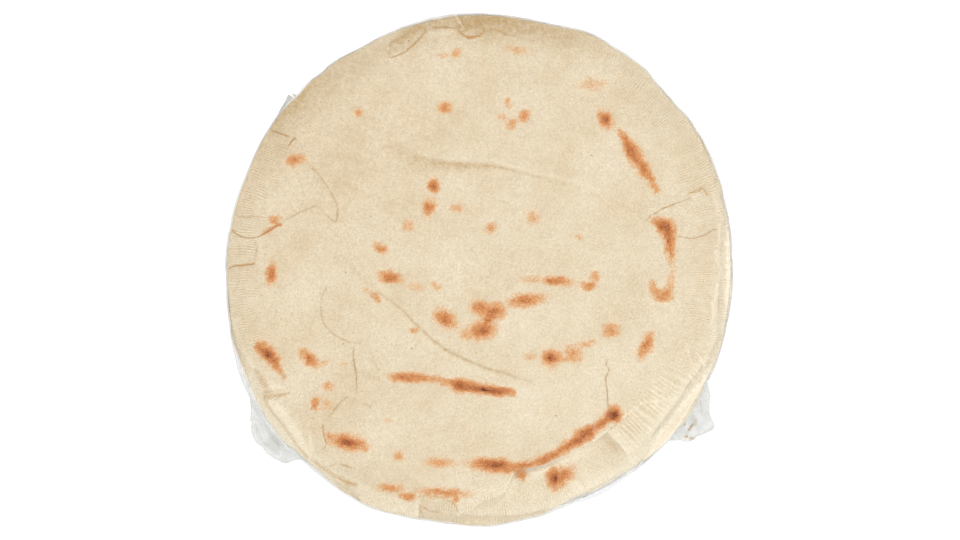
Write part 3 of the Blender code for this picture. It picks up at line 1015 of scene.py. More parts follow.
    def grained(self, mixer: Mixer, colour: Socket, sand: Socket) -> Socket:
        """Return a colour made darker and lighter by the sandy grain."""
        settings = {"data_type": "RGBA", 6: self.grain_dark, 7: self.grain_light}
        shade = add_node(mixer.tree, "Mix", settings, {0: mixer.span(sand, 0.26, 0.74)})
        settings = {"data_type": "RGBA", "blend_type": "MULTIPLY", 0: 1.0}
        links = {6: colour, 7: shade.outputs[2]}
        return add_node(mixer.tree, "Mix", settings, links).outputs[2]

    def specked(self, mixer: Mixer, colour: Socket) -> Socket:
        """Return a colour with sparse bran specks over it."""
        for size, radius, share in self.specks:
            cells = add_node(mixer.tree, "TexVoronoi", {"Scale": 1.0 / size},
                             {"Vector": mixer.place})
            near = mixer.span(cells.outputs["Distance"], radius * 0.4, radius * 1.5, share, 0.0)
            colour = mixer.blend(near, colour, self.speck)
        return colour


@dataclass(frozen=True)
class ClearFilm:
    """Clear polypropylene bag film, cast thin and heat-sealed.

    It gives the eye sharp reflections with no colour of its own, and a milky white where it
    is crumpled, from the attribute "haze", turning blue-grey low down. On the bag the same
    white is a painted highlight along the wrinkles and partly painted reflection down its side.
    """

    name: str
    gloss: str = "FFFFFF"
    # the milky white up high, which on the bag paints the highlights along the wrinkles
    milk_and_highlight: str = "FEF6E4"
    # the white low down, which on the bag's side is partly painted reflection of the sky
    low_milk_and_reflection: str = "EFF0F0"
    turn_low: tuple[float, float] = (15.5 * MM, 13.5 * MM)
    tint: str = "FCFDFE"
    crinkle: float = 7.0 * MM
    crinkle_bump: float = 0.10 * MM
    roughness: float = 0.16
    through_share: float = 0.16
    index: float = 1.18

    def build(self) -> Material:
        """Build the node material."""
        material = blank_material(self.name)
        tree = material.node_tree
        haze = add_node(tree, "Attribute", {"attribute_name": "haze"}).outputs["Fac"]
        place = add_node(tree, "TexCoord").outputs["Object"]
        crinkle = add_node(tree, "TexNoise", {"Scale": 1.0 / self.crinkle, "Detail": 3.0},
                           {"Vector": place}).outputs[0]
        height = add_node(tree, "Math", {"operation": "MULTIPLY", 1: self.crinkle_bump},
                          {0: crinkle})
        bump_node = add_node(tree, "Bump", {"Strength": 1.0, "Distance": 1.0},
                             {"Height": height.outputs[0]}).outputs[0]
        clear = add_node(tree, "BsdfTransparent", {"Color": linear(self.tint)})
        shine = add_node(tree, "BsdfGlossy",
                         {"Color": linear(self.gloss), "Roughness": self.roughness},
                         {"Normal": bump_node})
        level = add_node(tree, "SeparateXYZ", links={0: place}).outputs["Z"]
        high, low = self.turn_low
        share = add_node(tree, "MapRange", {"From Min": high, "From Max": low},
                         {"Value": level}).outputs["Result"]
        milky = add_node(tree, "Mix", {"data_type": "RGBA", 6: linear(self.milk_and_highlight),
                                       7: linear(self.low_milk_and_reflection)}, {0: share}).outputs[2]
        lit = add_node(tree, "BsdfDiffuse", links={"Color": milky, "Normal": bump_node})
        through = add_node(tree, "BsdfTranslucent", links={"Color": milky,
                                                           "Normal": bump_node})
        milk_and_highlight = add_node(tree, "MixShader", {0: self.through_share},
                        {1: lit.outputs[0], 2: through.outputs[0]})
        edge = add_node(tree, "Fresnel", {"IOR": self.index}, {"Normal": bump_node})
        film = add_node(tree, "MixShader",
                        links={0: edge.outputs[0], 1: clear.outputs[0], 2: shine.outputs[0]})
        cloudy = add_node(tree, "MixShader",
                          links={0: haze, 1: film.outputs[0], 2: milk_and_highlight.outputs[0]})
        add_node(tree, "OutputMaterial", links={"Surface": cloudy.outputs[0]})
        return material


@dataclass(frozen=True)
class LightBoard:
    """Matt white board that glows a little: a clean, almost shadowless ground."""

    name: str
    colour: str = "8C8C8C"
    roughness: float = 0.9
    glow: float = 0.84

    def build(self) -> Material:
        """Build the node material."""
        material = blank_material(self.name)
        tree = material.node_tree
        shader = add_node(tree, "BsdfPrincipled",
                          {"Base Color": linear(self.colour), "Roughness": self.roughness,
                           "Specular IOR Level": 0.0, "Emission Color": linear("FFFFFF"),
                           "Emission Strength": self.glow})
        add_node(tree, "OutputMaterial", links={"Surface": shader.outputs[0]})
        return material


# Edges sharper than this many degrees stay sharp.
BREAD_CORNER = 38.0
FILM_CORNER = 50.0
CRUMB_CORNER = 60.0


def finish_piece(piece: Piece, material: Material,
                 corner: float = BREAD_CORNER) -> None:
    """Args:
        piece: A mesh whose places are measured from the middle of the view.
        material: Its finish.
        corner: Edges sharper than this many degrees stay sharp.
    """
    write_points(piece, read_points(piece) + (*VIEW.shift, 0.0))
    piece.data.materials.clear()
    piece.data.materials.append(material)
    make_active(piece)
    bpy.ops.object.shade_smooth_by_angle(angle=math.radians(corner))
    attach(piece, BODY)
    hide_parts(NODE)
    triangles = sum(len(face.vertices) - 2 for face in piece.data.polygons)
    LOG.info("%s: %d triangles", piece.name, triangles)


# ------------------------------------------------------------------ the bread
@dataclass
class CrustPaint:
    """Paints a sheet's crust into the attribute "crust": scorch, toast, ribs and flour.

    The toast channel also carries painted shade and painted light, and the ribs painted
    shade and highlight.
    """

    edge: Callable[[Points], Points]
    scorches: tuple[Spot | Streak, ...]
    lines: tuple[Streak, ...] = ()
    cracks: tuple[Break, ...] = ()
    tones: tuple[Spot | Streak, ...] = ()
    toast_start: float = 0.84
    toast_end: float = 0.97
    shade_span: tuple[float, float] = (0.955, 0.99)
    floury_edge: float = 0.7
    floury_edge_start: float = 0.9977
    # painted shade in the furrows and painted highlight on the crests of the coarse ridges
    ridge_light_and_shade: float = 0.0
    furrow_share: float = 0.35
    line_heat: float = 0.30
    crack_span: tuple[float, float] = (0.10 * MM, 0.52 * MM)
    flour_bands: Bands = ((48.0 * MM, 0.5, 7),)
    ragged_seeds: tuple[int, int] = (41, 42)
    ragged_bands: Bands = (
        (8.0 * MM, 0.22 * MM, 6), (3.6 * MM, 0.15 * MM, 7),
    )
    seed: int = 3

    def apply(self, piece: Piece, places: Points) -> None:
        """Write the attribute.

        Args:
            piece: The mesh to paint.
            places: Where each of its vertices lay before it was lifted or tilted.
        """
        points = places[:, :2]
        radius, angle = polar(points)
        share = radius / self.edge(angle)
        scorch = np.zeros(len(points))
        ragged = points + np.stack([
            Swells2D(seed, self.ragged_bands).at(points) for seed in self.ragged_seeds
        ], axis=1)
        for mark in self.scorches:
            scorch = np.maximum(scorch, mark.at(ragged))
        toast_and_shading = around(TOAST_AT, angle) * smooth(share, self.toast_start, self.toast_end)
        # tones: toast and flour, and painted shade and painted light
        for tone in self.tones:
            toast_and_shading += tone.at(points)
        # painted shade in the furrows and painted highlight on the ridge crests
        furrow_shading = self.furrow_share - RIDGES.crest(angle, share)
        toast_and_shading += self.ridge_light_and_shade * furrow_shading * RIDGES.where(angle, share)
        toast_and_shading -= self.floury_edge * smooth(share, self.floury_edge_start, 1.0)
        # painted shade on the last of the rim, painted light where below 0
        toast_and_shading += around(RIM_SHADE_AT, angle) * smooth(share, *self.shade_span)
        brown = np.zeros(len(points))
        for mark in self.lines:
            brown = np.maximum(brown, mark.at(points))
        for crack in self.cracks:
            gap, _, way = along_line(points, VIEW.place(crack.pixels))
            near = 1.0 - smooth(gap, *self.crack_span)
            brown = np.maximum(brown, crack.brown * near * end_taper(way, 0.08))
        toast_and_shading = self.drawn_over(toast_and_shading, brown)
        scorch = np.maximum(scorch, self.line_heat * brown)
        # the ribs raise a bump and carry painted shade in the furrows and highlight on the crests
        ribs = rib_signal(points, angle, share, self.seed)
        ribs = 0.5 + 0.5 * ribs * (1.0 - RIDGES.where(angle, share))
        flour = 0.4 + 0.3 * Swells2D(self.seed, self.flour_bands).at(points)
        colours = np.column_stack((scorch, toast_and_shading, ribs, np.clip(flour, 0.0, 1.0)))
        layer = piece.data.color_attributes.new("crust", "FLOAT_COLOR", "POINT")
        layer.data.foreach_set("color", np.ascontiguousarray(colours, dtype=np.float32).ravel())

    @staticmethod
    def drawn_over(tone: Points, line: Points) -> Points:
        """Return a tone with a brown line over it, and as it was away from the line."""
        share = smooth(line, 0.0, 0.12)
        return np.where(line > tone, tone * (1.0 - share) + line * share, tone)


@dataclass
class BreadSheet:
    """One baked sheet of the stack: its rings, its shape and its crust."""

    index: int
    rim_rays: int = 1200
    rim_rings: int = 12
    rim_start: float = 0.86
    core: tuple[tuple[int, float, int], ...] = ((300, 0.55, 10), (96, 0.06, 8))
    edge_round: float = 0.35 * MM
    edge_steps: tuple[float, float] = (0.30, 0.72)
    under_inset: float = 2.5 * MM
    pleat_height: float = 0.10 * MM
    pleat_share: float = 0.45
    pleat_cycles: tuple[int, ...] = (131, 187, 241)
    pleat_span: tuple[float, float] = (0.84, 0.97)
    rib_height: float = 0.035 * MM
    seed: int = 11
    unevenness: float = 0.45
    calm_rim: float = 0.75
    calm_rim_start: float = 0.80
    thinning: float = 0.40
    thinning_start: float = 0.90
    shape_radius: float = 0.15
    folds: tuple[Fold, ...] = ()
    paint: CrustPaint = field(init=False)

    def __post_init__(self) -> None:
        """Set up the crust of a plain lower sheet."""
        self.outline = OUTLINES[self.index]
        self.folds = LOWER_FOLDS if self.index == 1 else ()
        self.paint = CrustPaint(
            self.edge, LOWER_SCORCHES if self.index == 1 else (),
            LOWER_LINES if self.index == 1 else (),
            # painted shade on the lower sheets beside the top sheet's broken edges
            tones=LOWER_TONES + broken_edge_shading(4.5, 0.14), toast_start=0.88, seed=self.seed,
        )

    def edge(self, angle: Points) -> Points:
        """Return the sheet's radius, kept inside the bag."""
        room = slack_at(angle) if self.index else FILM_GAP
        return self.outline.edge(angle) - room

    def zones(self) -> tuple[Zone, ...]:
        """Return the rings of the disc, from the middle over the edge to the underside."""
        full, wall = self.shape_radius, STACK.wall
        zones = []
        inner = self.rim_start
        for rays, share, count in self.core:
            outer = inner - 0.6 * (inner - share) / count
            zones.append(Zone(rays, rings(share * full, outer * full, count)))
            inner = share
        zones.reverse()
        rim = rings(self.rim_start * full, full - self.edge_round, self.rim_rings)
        edge = tuple((full, -step * wall) for step in self.edge_steps)
        zones.append(Zone(self.rim_rays, rim + edge + ((full - self.edge_round, -wall),)))
        under = rings(full - self.under_inset, 0.5 * full, 7, -wall)
        zones.append(Zone(240, under))
        zones.append(Zone(60, rings(0.46 * full, 0.05 * full, 5, -wall)))
        return tuple(zones)

    def relief(self, points: Points, radius: Points, angle: Points, share: Points) -> Points:
        """Return the sheet's own unevenness above its smooth bend.

        Args:
            points: Places on the sheet.
            radius: Their distances from the middle. Not used.
            angle: Their angles.
            share: Their distances as shares of the sheet's radius.

        Returns:
            Heights to add to the smooth bend.
        """
        height = self.unevenness * Swells2D(self.seed).at(points)
        height *= 1.0 - self.calm_rim * smooth(share, self.calm_rim_start, 1.0)
        for fold in self.folds:
            height += fold.at(points)
        turn = np.radians(angle)
        rim = smooth(share, *self.pleat_span) * around(RIBS_AT, angle)
        pleats = sum(
            np.sin(cycles * turn + self.seed * cycles + 2.2 * np.sin(7 * turn + cycles))
            for cycles in self.pleat_cycles
        )
        drift = 1.0 + 0.6 * np.sin(17 * turn + self.seed) * np.sin(5 * turn)
        height += self.pleat_height * self.pleat_share * pleats * rim * drift
        ribs = rib_signal(points, angle, share, self.seed)
        height += self.rib_height * ribs * (1.0 - RIDGES.where(angle, share))
        return height

    def shaped(self) -> Piece:
        """Build the disc and bend it to its place in the stack."""
        disc = closed_disc(f"sheet_{self.index + 1}", self.zones())
        self.refine(disc)
        flat = read_points(disc)
        radius, angle = polar(flat)
        share = radius / self.shape_radius
        edge = self.edge(angle)
        radius = share * edge
        points = on_plan(radius, angle)
        height = STACK.top(self.index, radius, angle) + self.relief(points, radius, angle, share)
        depth = flat[:, 2] * (1.0 - self.thinning * smooth(share, self.thinning_start, 1.0))
        write_points(disc, np.column_stack((points, height + depth)))
        return disc

    def refine(self, disc: Piece) -> None:
        """Make the mesh finer where folds run. A plain sheet has none."""

    def build(self) -> list[Piece]:
        """Build, paint and return the sheet's pieces."""
        sheet = self.shaped()
        self.paint.apply(sheet, read_points(sheet))
        return [sheet]


@dataclass(frozen=True)
class Flake:
    """A piece of the top sheet that has broken off and lies on the edge that it left.

    tilt is how far it turns about the hinge line, in degrees, and rise lifts it whole.
    """

    name: str
    pixels: tuple[tuple[float, float], ...]
    hinge: tuple[tuple[float, float], tuple[float, float]]
    tilt: float
    rise: float

    def lay(self, piece: Piece) -> None:
        """Tilt and lift the cut piece to where it lies."""
        tail, head = VIEW.place(self.hinge)
        axis = np.append((head - tail) / np.hypot(*(head - tail)), 0.0)
        places = read_points(piece)
        level = float(places[:, 2].mean())
        pivot = np.append(tail, level)
        angle = math.radians(self.tilt)
        offset = places - pivot
        along = (offset @ axis)[:, None] * axis
        turned = (
            along + (offset - along) * math.cos(angle) + np.cross(axis, offset) * math.sin(angle)
        )
        write_points(piece, turned + pivot + (0.0, 0.0, self.rise))


# Cracks of the top sheet.
TOP_BREAKS = (
    Break(((296, 138), (292, 142), (288, 147)), 0.26 * MM, brown=1.15),
    Break(((268, 127), (273, 131), (281, 134), (290, 137)), 0.18 * MM, 0.25 * MM, brown=0.95),
    Break(((288, 149), (292, 155)), 0.09 * MM, brown=0.35),
    Break(((305, 161), (316, 171), (324, 181), (330, 190), (338, 205), (338, 214),
           (337, 222), (331, 219), (323, 211)), 0.10 * MM, brown=0.50),
    Break(((321, 209), (316, 206), (304, 211), (294, 216), (283, 222)), 0.09 * MM,
          brown=0.45),
    Break(((282, 223), (277, 226), (271, 230), (265, 234), (261, 236)), 0.22 * MM,
          0.9 * MM, 5.0 * MM, brown=1.2),
    Break(((262, 236), (254, 238), (247, 238), (240, 236), (235, 233), (232, 228)),
          0.14 * MM, 0.6 * MM, 5.0 * MM, brown=0.9),
    Break(((269, 218), (258, 217), (246, 217), (236, 216)), 0.08 * MM, brown=0.5),
    Break(((256, 262), (253, 264.5), (246, 265), (240, 265), (234, 266), (228, 269)),
          0.18 * MM, 0.7 * MM, 5.0 * MM, brown=0.9),
    Break(((255, 241), (257, 248), (257, 255), (255, 262)), 0.08 * MM, 0.25 * MM,
          4.0 * MM, brown=0.35),
    Break(((329, 283), (322, 297), (321, 312), (325, 325), (335, 335), (350, 342),
           (364, 343)), 0.08 * MM, brown=0.38),
    Break(((354, 345), (354, 359), (357, 375), (357, 393)), 0.11 * MM, 0.3 * MM, brown=0.50),
    Break(((349, 395), (338, 405), (328, 419)), 0.10 * MM, brown=0.55),
    Break(((323, 423), (324, 433), (327, 444), (323, 450)), 0.12 * MM, brown=0.75),
    Break(((369, 347), (374, 360), (379, 370), (380, 383)), 0.07 * MM, brown=0.30),
    Break(((361, 402), (371, 406), (375, 399)), 0.08 * MM, brown=0.36),
    Break(((690, 198.5), (677, 203), (662, 209), (650, 216), (645, 223)), 0.12 * MM,
          -0.1 * MM, brown=0.6),
    Break(((708, 196), (702, 188), (697, 192), (688, 193)), 0.10 * MM, brown=0.6),
    Break(((675, 236), (691, 239), (705, 235), (712, 230), (719, 229)), 0.11 * MM,
          0.3 * MM, 6.0 * MM, brown=0.65),
    Break(((607, 357), (606, 364), (609, 370), (605, 377), (606, 384), (607, 396),
           (608, 409), (608, 428)), 0.12 * MM, 0.2 * MM, 5.0 * MM, brown=0.6),
    Break(((609, 429), (622, 419), (635, 411)), 0.08 * MM, brown=0.4),
    Break(((257, 344), (263, 352)), 0.2 * MM, brown=0.8),
    Break(((329, 466), (336, 464)), 0.12 * MM, brown=0.5),
    Break(((340, 463), (353, 468)), 0.12 * MM, brown=0.5),
    Break(((427, 29), (426, 32), (419, 40), (412, 47), (404, 53.5), (396, 57), (388, 58.5)),
          0.11 * MM, 0.35 * MM, 4.0 * MM, brown=0.8),
    Break(((388, 57), (390, 50), (391, 44), (397, 40), (404, 37), (412, 33), (419, 28)),
          0.08 * MM, brown=0.55),
    Break(((412, 26), (418, 26), (424, 29), (427, 31)), 0.10 * MM, brown=0.8),
    Break(((456, 29), (446, 28), (437, 28), (430, 28.5)), 0.10 * MM, 0.35 * MM, 3.0 * MM,
          brown=0.6),
    Break(((457, 29), (463, 24), (461, 19), (464, 14)), 0.12 * MM, brown=1.0),
    Break(((516, 37), (507, 35), (500, 32.5), (494, 30), (488, 28.5)), 0.09 * MM,
          0.3 * MM, 4.0 * MM, brown=0.6),
    Break(((487, 28.5), (484, 31), (480, 36), (473, 38), (467, 38), (462, 35), (457, 29)),
          0.12 * MM, 0.35 * MM, 4.0 * MM, brown=1.1),
    Break(((430, 28), (430, 23), (432, 17)), 0.08 * MM, brown=0.6),
)

# The long fold of the top sheet, its lower fold and a small branch of that.
TOP_FOLDS = (
    Fold(((386, 147), (405, 150), (416, 156), (430, 160), (450, 162), (476, 162),
          (496, 165), (509, 169), (529, 174), (549, 179), (580, 187), (609, 198),
          (629, 205), (639, 215), (645, 221)), 1.0 * MM, 8.0 * MM, 4.4 * MM),
    Fold(((352, 265), (367, 282), (383, 295), (400, 308), (416, 324), (433, 340),
          (446, 350), (466, 359.5), (486, 368), (508, 374), (529, 381), (543, 384)),
         0.38 * MM, 2.2 * MM, 3.6 * MM),
    Fold(((430, 354), (440, 353), (446, 350)), 0.3 * MM, 1.3 * MM, 2.0 * MM),
)

# The second sheet bulges up where the top sheet's rim is gone, and a little along its own
# rim at the lower right.
LOWER_FOLDS = (
    Fold(((480, 500), (500, 484), (511, 470), (530, 462), (552, 455), (574, 446), (590, 438),
          (606, 427), (618, 416), (640, 400)), 1.75 * MM, 10.0 * MM, 22.0 * MM),
    Fold(((626, 464), (643, 449), (659, 431), (674, 413), (690, 392)),
         0.3 * MM, 5.0 * MM, 7.0 * MM),
)

# Differences of tone, above 0 darker and below 0 paler: toast, flour, painted shade and light.
TONES: tuple[Spot | Streak, ...] = (
    # the long fold: painted shade on its lower flank and a painted highlight along its upper edge
    Streak(((386, 147, 8, 0.12), (405, 153, 12, 0.16), (420, 159, 11, 0.20),
            (440, 163, 9, 0.30), (460, 165, 8, 0.34), (480, 166, 7, 0.36),
            (497, 167, 4.5, 0.42), (515, 171.5, 3, 0.38), (540, 177.5, 3, 0.28),
            (580, 188, 3, 0.12), (625, 206, 4, 0.14), (645, 222, 3, 0.24))),
    Streak(((410, 166, 10, 0.08), (450, 171, 12, 0.12), (490, 174, 10, 0.10))),
    Streak(((410, 148, 5, -0.10), (428, 155, 5, -0.25), (450, 158, 5, -0.35),
            (476, 159, 5, -0.35), (497, 162, 4, -0.35), (515, 167, 4, -0.4),
            (540, 173.5, 4, -0.4), (580, 184, 5, -0.3), (610, 195, 6, -0.3))),
    # the lower fold: a golden line, partly painted shade, and a painted highlight below it
    Streak(((352, 265, 5, 0.12), (367, 282, 5, 0.18), (383, 295, 4, 0.22),
            (400, 308, 4, 0.30), (416, 324, 4.4, 0.45), (433, 340, 4.4, 0.48),
            (446, 350, 4.6, 0.54), (466, 359.5, 4.6, 0.55), (486, 368, 4.6, 0.57),
            (508, 374, 4.4, 0.56), (529, 381, 4, 0.44), (543, 384, 3, 0.18))),
    Streak(((365, 285, 3, -0.1), (381, 299, 4, -0.2), (398, 312, 4, -0.3),
            (414, 328, 4, -0.35), (431, 344, 4, -0.3), (464, 365, 4, -0.2),
            (484, 373, 4, -0.15), (507, 379, 4, -0.1))),
    # the small branch of the lower fold, partly painted shade
    Streak(((429, 354, 2, 0.25), (446, 350, 2, 0.40))),
    # the golden patch at the upper left
    Streak(((272, 120, 16, 0.16), (284, 106, 24, 0.26), (299, 92, 26, 0.24),
            (318, 78, 22, 0.10), (345, 62, 16, 0.0))),
    # the toasted rim outside the cracks at the top
    Streak(((394, 46, 9, 0.14), (404, 37, 12, 0.18), (418, 26, 10, 0.18))),
    Streak(((432, 21, 12, 0.10), (450, 18, 12, 0.10))),
    Streak(((466, 27, 14, 0.22), (480, 24, 18, 0.20), (500, 22, 16, 0.16),
            (520, 27, 16, 0.16), (545, 33, 14, 0.12), (570, 38, 12, 0.06))),
    Streak(((432, 34, 6, -0.3), (446, 34, 6, -0.3), (455, 34, 4, -0.2))),
    # the pale scar beside the left rim, and painted highlights along the breaks at the lower left
    Streak(((259, 240, 7, -0.4), (262, 252, 8, -0.5), (260, 262, 6, -0.3))),
    Streak(((266, 382, 6, -0.4), (274, 386, 8, -0.6), (284, 387, 6, -0.4))),
    Streak(((270, 402, 5, -0.6), (280, 412, 8, -0.7), (290, 426, 8, -0.6))),
    Streak(((296, 430, 4, -0.4), (303, 446, 6, -0.6), (308, 455, 4, -0.4))),
    Streak(((309, 422, 3, -0.2), (311, 440, 4, -0.4), (312, 452, 3, -0.3))),
    # painted highlight along a break at the bottom
    Streak(((417, 494, 3, -0.6), (417.5, 503, 3, -0.7), (417, 514, 3, -0.5))),
    # painted light over the lower left rim, which lies in shade
    Streak(((250, 360, 8, -0.3), (262, 384, 12, -0.4), (275, 405, 20, -0.6),
            (288, 425, 24, -0.6), (302, 445, 22, -0.5), (320, 463, 16, -0.5),
            (350, 482, 14, -0.5), (385, 498, 12, -0.5), (415, 506, 12, -0.5))),
    # painted highlights along the broken edge at the bottom and on the lower right flake's raised
    # end
    Streak(((462, 508, 10, -0.3), (485, 494, 12, -0.3), (505, 484, 10, -0.3))),
    Streak(((610, 430, 10, -0.2), (619, 440, 14, -0.4), (628, 449, 12, -0.5))),
    # broad spots: darker towards the top and left, paler at the right and lower right
    Spot(440, 100, 360, 130, 0, 0.11), Spot(575, 395, 210, 180, 0, -0.28),
    Spot(340, 400, 130, 130, 0, 0.16), Spot(350, 170, 150, 130, 0, 0.18),
    Spot(285, 270, 110, 150, 0, 0.10), Spot(680, 200, 70, 180, 0, -0.10),
)

# The same on the sheets below: painted shadow beside the flake, a yellower rim at the bottom,
# and painted light where the sheets lie in shade along the broken edges and round the rims.
LOWER_TONES: tuple[Spot | Streak, ...] = (
    # painted shadow of the lower right flake
    Streak(((604, 437, 8, 0.30), (612, 446, 10, 0.36), (622, 457, 7, 0.26))),
    # painted light on the lower left strip, in the shade of the top sheet's edge
    Streak(((249, 376, 14, -0.6), (257, 394, 14, -0.8), (268, 415, 16, -0.9),
            (284, 437, 15, -0.9), (302, 457, 14, -0.8), (330, 479, 12, -0.6))),
    # the yellower rim at the bottom
    Streak(((421, 512, 16, 0.16), (440, 518, 16, 0.22), (480, 522, 14, 0.22),
            (520, 520, 14, 0.14), (550, 514, 12, 0.04))),
    # painted light below the broken edge at the bottom
    Streak(((508, 492, 8, -0.4), (514, 476, 8, -0.6), (526, 471, 8, -0.8),
            (544, 467, 8, -0.8), (562, 459, 8, -0.8), (580, 451, 8, -0.7),
            (596, 443, 8, -0.4))),
    # painted light in the shaded groove beside the lower right flake and up the right side
    Streak(((632, 459, 10, -0.6), (645, 446, 10, -0.9), (657, 431, 10, -0.9),
            (669, 415, 9, -0.8), (682, 399, 9, -0.7), (694, 386, 10, -0.7),
            (706, 371, 12, -0.8), (716, 350, 14, -0.7), (722, 320, 15, -0.5))),
    # a tanner band on the outer rim at the lower right
    Streak(((638, 461, 8, 0.3), (657, 443, 8, 0.4), (674, 423, 8, 0.4),
            (689, 402, 8, 0.4), (701, 379, 8, 0.35), (711, 355, 8, 0.2))),
    # painted light on the shaded step at the right side
    Streak(((716, 190, 14, -0.3), (723, 215, 16, -0.4), (727, 250, 16, -0.4),
            (727, 290, 16, -0.4))),
    # painted light on the shaded rim at the bottom
    Spot(580, 480, 90, 40, -25, -0.24), Spot(520, 497, 90, 36, 12, -0.26),
)

# Rim that is gone from the top sheet, as the outline of what is missing.
MISSING = (
    ((243, 352), (247.5, 360), (252, 367), (255, 373), (258.5, 381), (261.5, 389), (264, 398),
     (268, 407), (275, 416), (281, 424), (290, 437), (298, 448), (306, 457.5), (312, 461.5),
     (324, 470.5), (333, 477), (341, 482.5), (351, 487), (358, 494), (361, 503), (361, 530),
     (290, 520), (215, 460), (215, 352)),
    ((419, 545), (419, 508), (418.5, 500), (419, 494), (430, 492), (445, 495), (455, 500.5),
     (457, 507), (459, 514), (460, 545)),
    ((459, 545), (459, 514), (466, 511), (472, 509), (483, 500), (498, 496), (505, 491),
     (508, 485), (512, 476), (516, 470), (524, 468), (534, 466), (543, 464), (552, 460),
     (563, 455), (574, 451), (582, 446), (590, 443), (598, 438), (603, 434), (608, 431),
     (613, 425), (620, 419), (631, 411), (642, 403), (655, 401), (668, 400), (683, 397),
     (730, 397), (730, 545)),
)


def broken_edge_shading(width: float, tone: float) -> tuple[Streak, ...]:
    """Return a band of painted shade along each broken edge of the top sheet.

    Args:
        width: Its width in pixels of the view.
        tone: How much painted shade it carries, below 0 painted highlight.

    Returns:
        One streak for each outline of missing rim, without the far side of the outline.
    """
    reach = STACK.bend_outline.radius / VIEW.pixel
    marks = []
    for outline in MISSING:
        inside = [spot for spot in outline if math.dist(spot, VIEW.middle) < reach]
        marks.append(Streak(tuple((x, y, width, tone) for x, y in inside)))
    return tuple(marks)


# Loose flakes of the top sheet's rim.
FLAKES = (
    Flake("rim_flake_lower_right",
          ((607.5, 432), (614, 424), (622, 417), (631, 409.5), (642, 401), (655, 398),
           (668, 396), (680, 394), (688, 394), (682, 402), (675, 410), (668, 418),
           (661, 424), (654, 431.5), (647, 438), (640, 444.5), (634, 450), (628, 455),
           (623, 450), (618.5, 444), (612, 438)),
          ((678, 397), (655, 424)), 2.2, 0.10 * MM),
    Flake("rim_flake_bottom",
          ((418, 493), (430, 490.5), (445, 493.5), (456.5, 499.5), (459, 507),
           (461, 516), (449, 513.5), (438, 511.5), (428, 508), (418.5, 503)),
          ((420, 494), (455, 501)), 3.0, -0.12 * MM),
)


@dataclass
class TopSheet(BreadSheet):
    """The sheet that shows whole: folded, cracked, scorched, with a broken rim."""

    index: int = 0
    rim_rays: int = 2400
    rim_rings: int = 20
    rim_start: float = 0.82
    core: tuple[tuple[int, float, int], ...] = (
        (600, 0.53, 30), (360, 0.28, 26), (180, 0.10, 18), (60, 0.02, 9),
    )
    pleat_height: float = 0.12 * MM
    rib_height: float = 0.05 * MM
    fine_by_fold: float = 3.0 * MM
    fine_by_crack: float = 1.0 * MM
    seed: int = 5
    unevenness: float = 1.0
    folds: tuple[Fold, ...] = TOP_FOLDS
    breaks: tuple[Break, ...] = TOP_BREAKS
    missing: tuple[tuple[tuple[float, float], ...], ...] = MISSING
    flakes: tuple[Flake, ...] = FLAKES

    def __post_init__(self) -> None:
        """Set up the scorched crust of the top sheet."""
        self.outline = OUTLINES[0]
        self.paint = CrustPaint(
            self.edge, SCORCHES, BROWN_LINES, self.breaks,
            # painted highlight along the broken edges, and painted shade and highlight on the
            # coarse ridges
            TONES + broken_edge_shading(2.6, -0.55), ridge_light_and_shade=1.3, seed=self.seed,
        )

    def edge(self, angle: Points) -> Points:
        """Return the sheet's radius, pressed out to the bag where it comes near it."""
        return drawn_out(angle) - FILM_GAP

    def relief(self, points: Points, radius: Points, angle: Points, share: Points) -> Points:
        """Return the sheet's unevenness, with the coarse ridges at its lower right."""
        height = super().relief(points, radius, angle, share)
        ridges = RIDGES.crest(angle, share) * RIDGES.where(angle, share)
        return height + RIDGES.height * ridges

    def refine(self, disc: Piece) -> None:
        """Halve the faces of the upper side that lie beside a fold or a crack."""
        flat = read_points(disc)
        radius, angle = polar(flat)
        points = flat[:, :2] * (self.edge(angle) / self.shape_radius)[:, None]
        chosen = np.zeros(len(points), dtype=bool)
        for fold in self.folds:
            gap, _, _ = along_line(points, VIEW.place(fold.pixels))
            chosen |= gap < self.fine_by_fold
        for crack in self.breaks:
            gap, _, _ = along_line(points, VIEW.place(crack.pixels))
            chosen |= gap < self.fine_by_crack
        chosen &= (flat[:, 2] > -MERGE_WITHIN) & (radius < self.rim_start * self.shape_radius)
        subdivide_near(disc, chosen)

    def build(self) -> list[Piece]:
        """Build the sheet, break it, and lay its flakes."""
        sheet = self.shaped()
        rng = np.random.default_rng(self.seed)
        flakes = [self.broken_off(sheet, flake) for flake in self.flakes]
        for number, pixels in enumerate(self.missing):
            cut(sheet, prism(f"missing_{number}", VIEW.place(pixels)), CutKind.AWAY)
        for number, crack in enumerate(self.breaks):
            cut(sheet, prism(f"crack_{number}", crack.ribbon(rng)), CutKind.AWAY)
        places = read_points(sheet)
        self.paint.apply(sheet, places)
        lifted = places.copy()
        for crack in self.breaks:
            lifted[:, 2] += crack.raised(places[:, :2])
        write_points(sheet, lifted)
        return [sheet, *flakes]

    def broken_off(self, sheet: Piece, flake: Flake) -> Piece:
        """Cut one flake out of a copy of the whole sheet and lay it down."""
        piece = copy_of(sheet, flake.name)
        cut(piece, prism("flake_cut", VIEW.place(flake.pixels)), CutKind.INSIDE)
        self.paint.apply(piece, read_points(piece))
        flake.lay(piece)
        return piece


